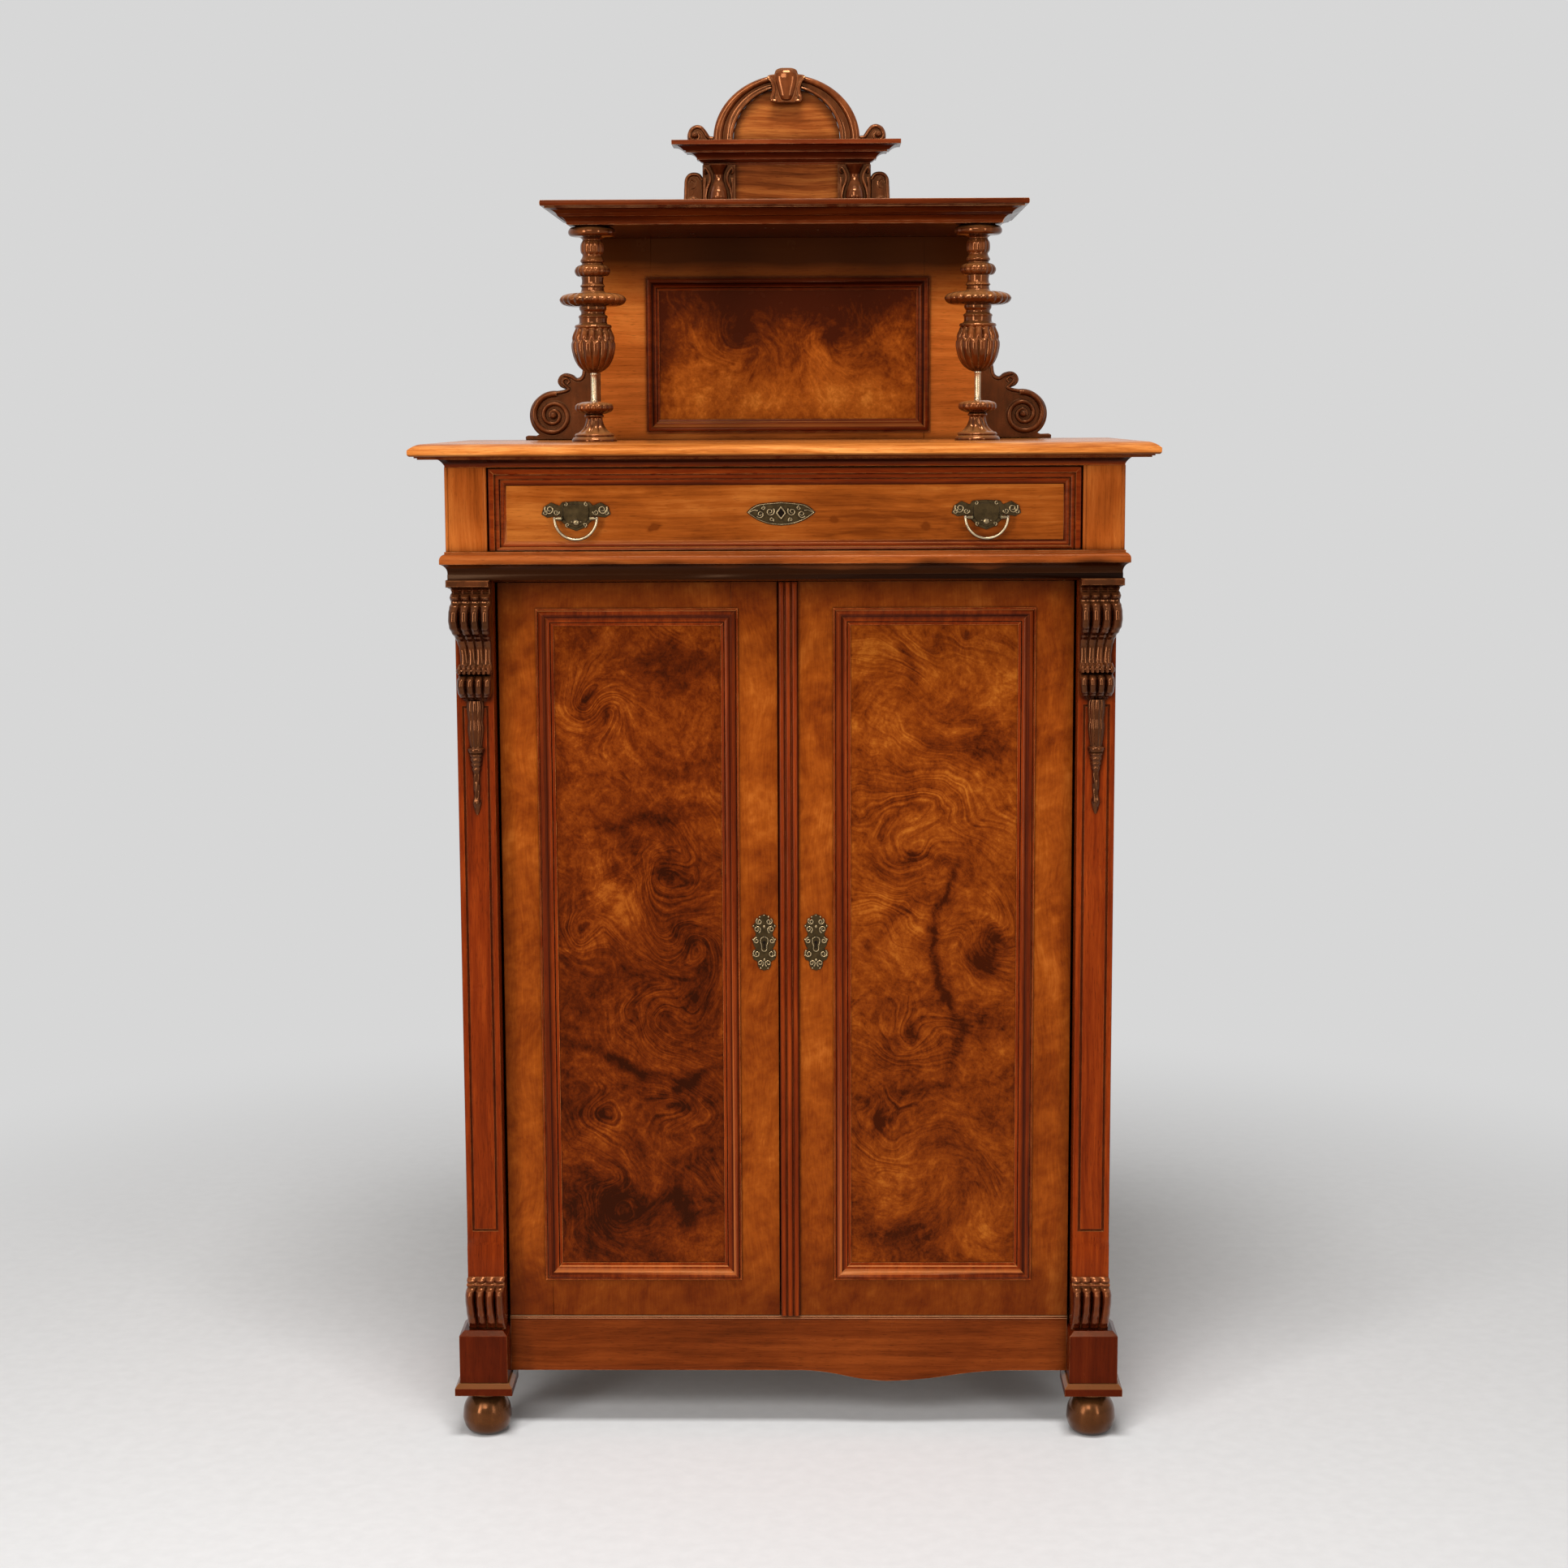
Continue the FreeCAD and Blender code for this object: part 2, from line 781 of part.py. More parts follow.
lower_mortise = door_bolt_bar(apron_top - door_bolt_travel, apron_top + overrun, slide_gap)
add("bottom_board", bottom_board.cut(lower_mortise))

apron_bottom = plate_top + apron_hem
apron_bead_share = 0.22
apron_curve_shares = [(-0.5, 0), (-0.3, 0.5, -0.025), (-0.1, 1, 0.025), (0.2, 0.5, 0.02), (0.5, 0, -0.02)]


def fixed_hinge_pocket(sign, z):
    """The recess for a pivot plate, let into the apron's top or the waist rail's underside."""
    tail = hinge_x - hinge_plate_length + hinge_plate_nose
    half = hinge_plate_width / 2
    floor = z + sign * hinge_plate_thickness
    return box(tail, hinge_x + hinge_plate_nose, hinge_y - half, hinge_y + half, min(z, floor), max(z, floor))


def apron():
    points = [(-block_inner, apron_top), (-block_inner, apron_bottom)]
    points += [(apron_drop_centre + s[0] * apron_drop_width, apron_bottom - s[1] * apron_drop) + tuple(s[2:])
               for s in apron_curve_shares]
    points += [(block_inner, apron_bottom), (block_inner, apron_top)]
    board = plate_xz(points, door_face, door_face + apron_thickness)
    for pocket in pair(fixed_hinge_pocket(-1, apron_top)):
        board = board.cut(pocket)
    low = apron_top - apron_bead_height * 2
    bead = [(door_face + apron_bead_proud, low), (door_face, low),
            (door_face, apron_top - apron_bead_height, -apron_bead_share),
            (door_face, apron_top, -apron_bead_share), (door_face + apron_bead_proud, apron_top)]
    return board.fuse(plate_yz(bead, -block_inner, block_inner))


add("apron", apron())

board_width = (2 * case_inner - back_board_joint * (back_board_count - 1)) / back_board_count
back_boards = []
for i in range(back_board_count):
    left = -case_inner + i * (board_width + back_board_joint)
    back_boards.append(box(left, left + board_width, back_inner, back,
                           block_top, dust_board_bottom))
back_boards.append(box(-stage_inner, stage_inner, back_inner, back, waist_top, slab_bottom))
add("back_boards", back_boards)

shelves = []
cleats = []
shelf_pitch = (waist_bottom - apron_top) / (shelf_count + 1)
for i in range(shelf_count):
    level = apron_top + shelf_pitch * (i + 1)
    shelves.append(box(-case_inner, case_inner, door_back + shelf_setback, back_inner,
                       level, level + shelf_thickness))
    cleats += pair(box(case_inner - cleat_thickness, case_inner, pilaster_back, back_inner,
                       level - cleat_height, level))
add("shelves", shelves)

waist_core_half = stage_side + waist_side_proud - waist_moulding_width
dust_board = box(-waist_core_half, waist_core_half, waist_core_face, back, dust_board_bottom, waist_top)
add("dust_board", dust_board)

waist_section_shares = [(0, 0), (0.58, 0), (0.58, 0.17), (1, 0.57, -0.20), (1, 0.70), (0.72, 0.92, 0.18),
                        (0.72, 1), (0, 1)]
waist_path = [V(-waist_core_half, back, waist_bottom), V(-waist_core_half, waist_core_face, waist_bottom),
              V(waist_core_half, waist_core_face, waist_bottom), V(waist_core_half, back, waist_bottom)]
waist_section = scaled(waist_section_shares, waist_moulding_width, waist_height)
add("waist_moulding", moulding(waist_path, waist_section, V(0, 0, 1)))

waist_rail_back = waist_core_face + waist_rail_depth
rail_cove_share = -0.10


def waist_rail():
    """The rail over the doors, with a cove under its front edge and seats for hinges and bolt."""
    points = [(waist_core_face, waist_bottom),
              (waist_core_face + waist_rail_cove, waist_rail_bottom, rail_cove_share),
              (waist_rail_back, waist_rail_bottom), (waist_rail_back, dust_board_bottom),
              (waist_core_face, dust_board_bottom)]
    rail = plate_yz(points, -pilaster_inner, pilaster_inner)
    rail = rail.fuse(box(-waist_core_half, waist_core_half, waist_core_face, waist_rail_back,
                         waist_bottom, dust_board_bottom)).removeSplitter()
    for pocket in pair(fixed_hinge_pocket(1, waist_rail_bottom)):
        rail = rail.cut(pocket)
    upper_mortise = door_bolt_bar(waist_rail_bottom - overrun, waist_rail_bottom + door_bolt_travel, slide_gap)
    return rail.cut(upper_mortise)


waist_side_rail = box(case_inner, waist_core_half, waist_rail_back, back, waist_bottom, dust_board_bottom)
add("waist_rails", waist_rail(), pair(waist_side_rail))


# Hinge plates: knife hinges let into the ends of the doors and the rails

def hinge_plate(z, up):
    """A pivot plate of the case. The pin points away from the rail into the door."""
    low = min(z, z + up * hinge_plate_thickness)
    tail = hinge_x - hinge_plate_length + hinge_plate_nose
    half = hinge_plate_width / 2
    plate = box(tail, hinge_x + hinge_plate_nose, hinge_y - half, hinge_y + half,
                low, low + hinge_plate_thickness)
    length = joint_gap + hinge_plate_thickness + hinge_pin_spare
    return plate.fuse(cylinder(hinge_pin_radius, length, V(hinge_x, hinge_y, z), V(0, 0, -up)))


add("hinge_plates", pair(hinge_plate(waist_rail_bottom, 1)), pair(hinge_plate(apron_top, -1)))


# Doors

panel_moulding_shares = [(0, 0.70), (0.10, 0.70), (0.14, 0.92), (0.36, 1.0, -0.12), (0.44, 0.80),
                         (0.78, 0.40, 0.10), (0.84, 0.22), (1, 0.14)]
mould_outer = door_outer - door_stile_width
mould_low = door_bottom + door_bottom_rail_width
mould_high = door_top - door_top_rail_width
open_outer = mould_outer - door_rebate
open_inner = door_moulding_inner_x + door_rebate
open_low = mould_low + door_rebate
open_high = mould_high - door_rebate


def framed_section(width, proud, recess, rebate):
    """A panel moulding's section: inwards from its outer edge, and proud of the frame's face."""
    total = proud + recess
    points = [(0, 0)]
    points += [(s[0] * width, s[1] * total - recess) + tuple(s[2:]) for s in panel_moulding_shares]
    return points + [(width, -recess), (rebate, -recess), (rebate, 0)]


def door_frame(free_edge):
    """Two stiles and two rails. The hinge stile's outer edge is round about the pivot."""
    y0, y1 = door_face, door_back
    round_edge = cylinder(hinge_inset, door_top - door_bottom, V(hinge_x, hinge_y, door_bottom), V(0, 0, 1))
    round_edge = round_edge.common(box(hinge_x - hinge_inset, door_outer, y0, y1, door_bottom, door_top))
    hinge_stile = box(open_outer, hinge_x, y0, y1, door_bottom, door_top).fuse(round_edge).removeSplitter()
    half = hinge_plate_width / 2 + slide_gap / 2
    tail = hinge_x - hinge_plate_length + hinge_plate_nose
    pin_hole = hinge_pin_radius + slide_gap
    for end, up in ((door_top, -1), (door_bottom, 1)):
        floor = end + up * hinge_plate_thickness
        pocket = box(tail, hinge_x + hinge_plate_nose, hinge_y - half, hinge_y + half,
                     min(end, floor), max(end, floor))
        deep = floor + up * (hinge_pin_spare + slide_gap)
        hole = box(hinge_x - pin_hole, hinge_x + pin_hole, hinge_y - pin_hole, hinge_y + pin_hole,
                   min(floor, deep), max(floor, deep))
        hinge_stile = hinge_stile.cut(pocket.fuse(hole))
    free_stile = box(free_edge, open_inner, y0, y1, door_bottom, door_top)
    top_rail = box(open_inner, open_outer, y0, y1, open_high, door_top)
    bottom_rail = box(open_inner, open_outer, y0, y1, door_bottom, open_low)
    return [hinge_stile, free_stile, top_rail, bottom_rail]


def door_panel():
    face = door_face + door_panel_recess
    return box(open_inner, open_outer, face, face + door_panel_thickness, open_low, open_high)


def door_moulding():
    path = [V(door_moulding_inner_x, door_face, mould_high), V(mould_outer, door_face, mould_high),
            V(mould_outer, door_face, mould_low), V(door_moulding_inner_x, door_face, mould_low)]
    section = framed_section(door_moulding_width, door_moulding_proud, door_panel_recess, door_rebate)
    return moulding(path, section, V(0, -1, 0), closed=True)


def door_pivots():
    """The hinge plates of the door, with a running fit on the pins of the case."""
    plates = []
    for low in (door_bottom, door_top - hinge_plate_thickness):
        plate = box(hinge_x - hinge_plate_length + hinge_plate_nose, hinge_x + hinge_plate_nose,
                    hinge_y - hinge_plate_width / 2, hinge_y + hinge_plate_width / 2,
                    low, low + hinge_plate_thickness)
        bore_radius = hinge_pin_radius + pin_clearance
        bore = cylinder(bore_radius, hinge_plate_thickness, V(hinge_x, hinge_y, low), V(0, 0, 1))
        plates.append(plate.cut(bore))
    return plates


door_escutcheon_shares = [(0, 1), (0.40, 0.94), (0.62, 0.74), (0.94, 0.62), (0.84, 0.34), (1, 0.10),
                          (0.90, -0.22), (1, -0.48), (0.66, -0.66), (0.56, -0.88), (0, -1)]


def key_slot(x, z, y0, y1):
    """The plain slot that a key passes behind its escutcheon."""
    return box(x - keyhole_radius, x + keyhole_radius, y0, y1, z - keyhole_drop, z + keyhole_radius)


keyhole_waist_share = 0.4
keyhole_head_shares = [(0.4, -0.9), (1, -0.3), (0.8, 0.6), (0, 1), (-0.8, 0.6), (-1, -0.3), (-0.4, -0.9)]


def keyhole(x, z, y0, y1):
    outline_points = [(x + keyhole_radius * a, z + keyhole_radius * b) for a, b in keyhole_head_shares]
    foot = z - keyhole_drop
    waist = keyhole_radius * keyhole_waist_share
    return plate_xz(outline_points + [(x - waist, foot), (x + waist, foot)], y0, y1)


def escutcheon(x, z, shares, width, height, y):
    """A scrolled plate on the face at y, from the outline of its right half."""
    half = scaled(shares, width / 2, height / 2)
    ring = half + [(-a, b) for a, b in half[-2:0:-1]]
    return plate_xz([(x + a, z + b) for a, b in ring], y - escutcheon_thickness, y)


lock_bolt_level = door_escutcheon_level - lock_bolt_height / 2
lock_case_x0 = right_free_edge + joint_gap
lock_bolt_y = door_back + lock_wall
keeper_x1 = left_free_edge - joint_gap


def bolt_space(x0, x1, gap):
    return box(x0, x1, lock_bolt_y - gap, lock_bolt_y + lock_bolt_thickness + gap,
               lock_bolt_level - gap, lock_bolt_level + lock_bolt_height + gap)


def door_lock_case():
    case = box(lock_case_x0, lock_case_x0 + lock_case_width, door_back, door_back + lock_case_depth,
               door_escutcheon_level - lock_case_height / 2, door_escutcheon_level + lock_case_height / 2)
    bolt_end = lock_case_x0 + joint_gap + lock_bolt_length + slide_gap
    return case.cut(bolt_space(lock_case_x0 - overrun, bolt_end, slide_gap))


def door_keeper():
    half = lock_bolt_height / 2 + lock_wall
    middle = lock_bolt_level + lock_bolt_height / 2
    keeper = box(keeper_x1 - keeper_width, keeper_x1, door_back, door_back + lock_case_depth,
                 middle - half, middle + half)
    return keeper.cut(bolt_space(keeper_x1 - lock_bolt_travel - slide_gap, keeper_x1 + overrun, slide_gap))


def bolt_brackets(end, up):
    """Two straps for one slide bolt, counted from the door's end."""
    brackets = []
    for i in range(2):
        middle = end - up * (bolt_bracket_height / 2 + bolt_bracket_spacing * i)
        low = middle - bolt_bracket_height / 2
        block = box(door_bolt_x - bolt_bracket_width / 2, door_bolt_x + bolt_bracket_width / 2,
                    door_back, door_back + bolt_bracket_depth, low, low + bolt_bracket_height)
        brackets.append(block.cut(door_bolt_bar(low, low + bolt_bracket_height, pin_clearance)))
    return brackets


def door_bolt(end, up):
    """A flat bolt at rest, drawn back inside the door's end, with its thumb piece between the straps."""
    tip = end - up * door_bolt_rest_gap
    tail = tip - up * door_bolt_length
    bar = door_bolt_bar(min(tip, tail), max(tip, tail), 0)
    level = end - up * (bolt_bracket_height + bolt_bracket_spacing + door_bolt_travel) / 2
    half = door_bolt_width / 2
    thumb = box(door_bolt_x - half, door_bolt_x + half, door_bolt_y, door_bolt_y + bolt_thumb_reach,
                level - bolt_thumb_height / 2, level + bolt_thumb_height / 2)
    return bar.fuse(thumb)


frame_solids = {"right": door_frame(right_free_edge), "left": door_frame(-left_free_edge)}
right_frame = frame_solids["right"]
slot = key_slot(door_escutcheon_right_x, door_escutcheon_level, door_face, door_back)
right_frame[1] = right_frame[1].cut(slot)
moulding_sticks = door_moulding()
add("door_right_frame", right_frame)
add("door_right_moulding", moulding_sticks)
add("door_right_panel", door_panel())
add("door_left_frame", [mirrored(piece) for piece in frame_solids["left"]])
add("door_left_moulding", [mirrored(piece) for piece in moulding_sticks])
add("door_left_panel", mirrored(door_panel()))


def door_escutcheon(x):
    shape = escutcheon(x, door_escutcheon_level, door_escutcheon_shares, door_escutcheon_width,
                       door_escutcheon_height, door_face)
    return shape.cut(keyhole(x, door_escutcheon_level, door_face - overrun, door_face))


add("door_right_fittings", door_pivots(), door_lock_case(), door_escutcheon(door_escutcheon_right_x))
add("door_left_fittings", [mirrored(piece) for piece in door_pivots()], door_keeper(),
    bolt_brackets(door_top, 1), bolt_brackets(door_bottom, -1), door_escutcheon(door_escutcheon_left_x))
add("door_lock_bolt", bolt_space(lock_case_x0 + joint_gap, lock_case_x0 + joint_gap + lock_bolt_length, 0))
add("door_bolt_top", door_bolt(door_top, 1))
add("door_bolt_bottom", door_bolt(door_bottom, -1))

strip_reed_share = 0.25
reed = strip_width / strip_reed_count
strip_points = [(right_free_edge, door_face), (right_free_edge, door_face - strip_base)]
for i in range(strip_reed_count):
    strip_points.append((right_free_edge + reed * (i + 1), door_face - strip_base, strip_reed_share))
strip_points.append((right_free_edge + strip_width, door_face))
add("door_right_strip", plate_xy(strip_points, door_bottom, door_top))


# Drawer stage

post_back = stage_face + post_depth
post_bead_share = 0.32


def stage_post():
    bead = post_bead_radius
    face = stage_face + 2 * bead * post_bead_share
    points = [(post_inner, post_back), (post_inner, face), (post_inner + 2 * bead, face, post_bead_share),
              (post_outer - 2 * bead, face), (post_outer, face, post_bead_share), (post_outer, post_back)]
    return plate_xy(points, waist_top, stage_opening_top)


add("stage_posts", pair(stage_post()))
add("stage_sides", pair(box(stage_inner, stage_side, post_back, back, waist_top, slab_bottom)))

stage_core_face = stage_face + bed_core_inset
bed_section_shares = [(0, 0), (0.06, 0), (0.06, 0.14), (0.90, 0.72, -0.22), (0.90, 0.86), (1, 0.86), (1, 1),
                      (0, 1)]
bed_path = [V(-stage_side, back, stage_opening_top), V(-stage_side, stage_core_face, stage_opening_top),
            V(stage_side, stage_core_face, stage_opening_top), V(stage_side, back, stage_opening_top)]
bed_section = scaled(bed_section_shares, bed_moulding_width, bed_moulding_height)
add("bed_moulding", moulding(bed_path, bed_section, V(0, 0, 1)))

drawer_face = stage_face + drawer_face_setback
drawer_front_back = drawer_face + drawer_front_thickness
drawer_half = post_inner - joint_gap
drawer_low = waist_top + joint_gap
drawer_high = stage_opening_top - joint_gap
drawer_bolt_y = drawer_front_back - drawer_lock_depth + lock_wall
drawer_lock_high = drawer_high - drawer_lock_below_edge
drawer_bolt_low = drawer_lock_high - drawer_bolt_height
pull_middle = pull_offset


def drawer_bolt_space(low, high, gap):
    half = drawer_bolt_width / 2 + gap
    return box(pull_middle - half, pull_middle + half, drawer_bolt_y - gap,
               drawer_bolt_y + drawer_bolt_thickness + gap, low, high)


top_rail = box(-stage_side, stage_side, stage_core_face, post_back, stage_opening_top, slab_bottom)
bolt_mortise_top = drawer_lock_high + drawer_bolt_travel + slide_gap
top_rail = top_rail.cut(drawer_bolt_space(stage_opening_top, bolt_mortise_top, slide_gap))
add("stage_top_rail", top_rail)

slab_edge_shares = [(0.14, 0), (0, 0.20, 0.15), (0, 0.50), (1, 1, 0.10)]
slab = edged_board(-slab_width / 2, slab_width / 2, front, back, slab_bottom, slab_top, slab_edge_shares,
                   slab_edge_width)
add("top_slab", slab)


# Drawer

lock_half = drawer_lock_width / 2
lock_recess = box(pull_middle - lock_half, pull_middle + lock_half, drawer_front_back - drawer_lock_depth,
                  drawer_front_back, drawer_lock_high - drawer_lock_height, drawer_lock_high)
drawer_front = box(-drawer_half, drawer_half, drawer_face, drawer_front_back, drawer_low, drawer_high)
drawer_front = drawer_front.cut(lock_recess)
drawer_front = drawer_front.cut(drawer_bolt_space(drawer_lock_high, drawer_high + overrun, slide_gap))
drawer_key_level = drawer_high - drawer_key_drop
add("drawer_front", drawer_front.cut(key_slot(pull_middle, drawer_key_level, drawer_face, drawer_front_back)))

drawer_moulding_shares = [(0, 0), (0, 0.80), (0.14, 1.0, -0.25), (0.34, 1.0), (0.38, 0.62),
                          (0.62, 0.58, -0.12), (0.66, 0.30), (0.88, 0.22, -0.12), (1, 0)]


def drawer_moulding():
    """The stepped frame on the drawer front. Its foot stick is trimmed to the drawer's lower edge."""
    low = drawer_low - drawer_moulding_foot_trim
    path = [V(-drawer_half, drawer_face, drawer_high), V(drawer_half, drawer_face, drawer_high),
            V(drawer_half, drawer_face, low), V(-drawer_half, drawer_face, low)]
    section = scaled(drawer_moulding_shares, drawer_moulding_width, drawer_moulding_proud)
    sticks = moulding(path, section, V(0, -1, 0), closed=True)
    return [stick.cut(beyond(V(0, drawer_face, drawer_low), V(0, 0, -1))) for stick in sticks]


add("drawer_moulding", drawer_moulding())

drawer_side_outer = drawer_half - drawer_side_gap
drawer_side_inner = drawer_side_outer - drawer_side_thickness
drawer_floor = waist_top + slide_gap
drawer_end = back_inner - drawer_rear_gap
side_high = drawer_high - drawer_side_drop
bottom_low = drawer_floor + drawer_bottom_lift
bottom_high = bottom_low + drawer_bottom_thickness
groove_reach = drawer_side_inner + drawer_groove_depth


def drawer_sides():
    side = box(drawer_side_inner, drawer_side_outer, drawer_front_back, drawer_end, drawer_floor, side_high)
    side = side.cut(box(0, groove_reach, drawer_front_back - overrun, drawer_end + overrun,
                        bottom_low, bottom_high))
    rear = box(-drawer_side_inner, drawer_side_inner, drawer_end - drawer_side_thickness, drawer_end,
               bottom_high, side_high)
    return pair(side) + [rear]


add("drawer_box", drawer_sides())
add("drawer_bottom", box(-groove_reach, groove_reach, drawer_front_back, drawer_end, bottom_low, bottom_high))

guide = box(drawer_half, drawer_half + guide_width, post_back, back_inner, waist_top, waist_top + guide_height)
add("runners_and_cleats", pair(guide), cleats)

bolt_channel = drawer_bolt_space(drawer_bolt_low - slide_gap, drawer_lock_high + overrun, slide_gap)
add("drawer_lock", lock_recess.cut(bolt_channel))
add("drawer_lock_bolt", drawer_bolt_space(drawer_bolt_low, drawer_lock_high, 0))


# Drawer pulls

pull_level = drawer_high - pull_level_drop
bail_axis_y = drawer_face - bail_stand_off
pivot_level = pull_level - bail_pivot_drop
pull_plate_shares = [(0, 1), (0.40, 0.94), (0.48, 0.70), (0.72, 0.92), (0.94, 0.62), (1.0, 0.12), (0.84, -0.10),
                     (0.60, -0.02), (0.42, -0.36), (0.22, -0.80), (0, -1)]
drawer_escutcheon_shares = [(0, 1), (0.34, 0.92), (0.66, 0.80), (0.86, 0.50), (1, 0.10), (0.84, -0.24),
                            (0.62, -0.62), (0.32, -0.90), (0, -1)]
bail_side_count = 8
bail_step_count = 9


# Corner radius of the bore whose flats clear the pin
bail_bore_radius = (bail_pin_radius + pin_clearance) / math.cos(math.pi / bail_side_count)


def cross_bar(x, z, radius, way):
    """A bar of flats on the bail's axis, as long as its pins, that runs from x to one side."""
    rings = []
    for across in (x, x + way * bail_pin_length):
        angles = [math.tau * (i + 0.5) / bail_side_count for i in range(bail_side_count)]
        corners = [(radius * math.cos(t), radius * math.sin(t)) for t in angles]
        rings.append([V(across, bail_axis_y + depth, z + rise) for depth, rise in corners])
    return ruled_solid(rings)


def pull_plate(x):
    """A scrolled back plate with a domed middle and two posts that carry the bail."""
    face = drawer_face - escutcheon_thickness
    plate = escutcheon(x, pull_level, pull_plate_shares, pull_plate_width, pull_plate_height, drawer_face)
    boss = domed_boss(x, pull_level, pull_boss_radius, face, face - pull_boss_height)
    plate = plate.fuse(boss)
    tip = bail_axis_y - pull_post_height / 2
    post_outer_x = bail_radius - bail_wire_radius - pull_post_gap
    for sign in (-1, 1):
        near = x + sign * (post_outer_x - pull_post_width)
        far = x + sign * post_outer_x
        post = box(min(near, far), max(near, far), tip, face, pivot_level - pull_post_height / 2,
                   pivot_level + pull_post_height / 2)
        bore = cross_bar(far, pivot_level, bail_bore_radius, -sign)
        plate = plate.fuse(post).cut(bore)
    return plate


def bail(x):
    """A half-round wire handle with a pin at each end, hanging from its posts."""
    centre = V(x, bail_axis_y, pivot_level)
    ring = bent_bar(bail_radius, bail_wire_radius, centre, math.pi, math.pi, bail_side_count, bail_step_count)
    for sign in (-1, 1):
        knuckle = V(x + sign * bail_radius, bail_axis_y, pivot_level)
        knee = bail_wire_radius
        ring = ring.fuse(box(knuckle.x - knee, knuckle.x + knee, knuckle.y - knee, knuckle.y + knee,
                             knuckle.z, knuckle.z + knee))
        ring = ring.fuse(cross_bar(knuckle.x, knuckle.z, bail_pin_radius, -sign))
    return ring


half_spacing = pull_spacing / 2
key_plate = escutcheon(pull_middle, drawer_key_level, drawer_escutcheon_shares, drawer_escutcheon_width,
                       drawer_escutcheon_height, drawer_face)
key_plate = key_plate.cut(keyhole(pull_middle, drawer_key_level, drawer_face - overrun, drawer_face))
pull_left_x = pull_middle - half_spacing
pull_right_x = pull_middle + half_spacing
add("drawer_plates", pull_plate(pull_left_x), pull_plate(pull_right_x), key_plate)
add("bail_left", bail(pull_left_x))
add("bail_right", bail(pull_right_x))


# Gallery: columns, backboard, wings and shelf

column_foot_shares = [(0.68, 0), (0.68, 0.06), (0.38, 0.22), (0.26, 0.45), (0.26, 0.68), (0.58, 0.78),
                      (0.58, 0.90), (0.34, 1.0)]
vase_level_shares = [(0, 0.36), (0.22, 0.70), (0.55, 1.0), (0.82, 0.90), (1.0, 0.70)]
column_head_shares = [(0.43, 0), (0.40, 0.11), (0.92, 0.14), (1.0, 0.20), (0.92, 0.26), (0.36, 0.30),
                      (0.33, 0.44), (0.53, 0.47), (0.53, 0.55), (0.32, 0.58), (0.32, 0.68), (0.38, 0.72),
                      (0.36, 0.85), (0.70, 0.90), (0.70, 1.0)]
column_foot_height = gallery_column_height * column_foot_share
column_rod_height = gallery_column_height * column_rod_share
vase_height = gallery_column_height * vase_share
vase_bottom = slab_top + column_foot_height + column_rod_height
vase_width_share = 0.665
vase_radius = column_disc_radius * vase_width_share


def column():
    foot_profile = scaled(column_foot_shares, column_disc_radius, column_foot_height)
    foot = turned(foot_profile, column_x, column_y, slab_top)
    levels = [(vase_bottom + s[0] * vase_height, s[1] * vase_radius) for s in vase_level_shares]
    vase = lobed_turning(levels, column_x, column_y, gadroon_count, gadroon_depth_share)
    head_bottom = vase_bottom + vase_height
    head_profile = scaled(column_head_shares, column_disc_radius, soffit - head_bottom)
    head = turned(head_profile, column_x, column_y, head_bottom)
    return [foot, vase.fuse(head)]


right_column = column()
add("column_right", right_column)
add("column_left", [mirrored(piece) for piece in right_column])
rod_profile = [(column_rod_radius, 0), (column_rod_radius, column_rod_height)]
rod = turned(rod_profile, column_x, column_y, slab_top + column_foot_height)
add("column_rods", pair(rod))

cornice_section_shares = [(0, 0), (0.08, 0.02), (0.10, 0.12), (0.34, 0.36, -0.12), (0.40, 0.36), (0.44, 0.46),
                          (0.86, 0.68, -0.10), (0.86, 0.74), (1, 0.76), (1, 1, 0.12), (0, 1)]
core_back = back - gallery_back_inset
cornice_path = [V(-gallery_core_half, core_back, soffit), V(-gallery_core_half, gallery_core_front, soffit),
                V(gallery_core_half, gallery_core_front, soffit), V(gallery_core_half, core_back, soffit)]
cornice_section = scaled(cornice_section_shares, gallery_cornice_width, gallery_shelf_thickness)
add("gallery_cornice", moulding(cornice_path, cornice_section, V(0, 0, 1)))
shelf = box(-gallery_core_half, gallery_core_half, gallery_core_front, core_back, soffit, gallery_top)
add("gallery_shelf", shelf)

board_face = core_back - gallery_board_thickness
panel_low = slab_top + gallery_panel_foot
panel_high = soffit - gallery_panel_head
gallery_open_half = gallery_panel_half_width - gallery_rebate


gallery_open_low = panel_low + gallery_rebate
gallery_open_high = panel_high - gallery_rebate


def gallery_frame():
    """Two stiles and two rails round the gallery's panel."""
    stile = box(gallery_open_half, gallery_board_half_width, board_face, core_back, slab_top, soffit)
    foot_rail = box(-gallery_open_half, gallery_open_half, board_face, core_back, slab_top, gallery_open_low)
    head_rail = box(-gallery_open_half, gallery_open_half, board_face, core_back, gallery_open_high, soffit)
    return pair(stile) + [foot_rail, head_rail]


add("gallery_backboard", gallery_frame())
panel_face = board_face + gallery_panel_recess
back_panel = box(-gallery_open_half, gallery_open_half, panel_face, panel_face + gallery_panel_thickness,
                 gallery_open_low, gallery_open_high)
add("gallery_panel", back_panel)
panel_half = gallery_panel_half_width
gallery_path = [V(-panel_half, board_face, panel_high), V(panel_half, board_face, panel_high),
                V(panel_half, board_face, panel_low), V(-panel_half, board_face, panel_low)]
gallery_section = framed_section(gallery_moulding_width, gallery_moulding_proud, gallery_panel_recess,
                                 gallery_rebate)
add("gallery_moulding", moulding(gallery_path, gallery_section, V(0, -1, 0), closed=True))


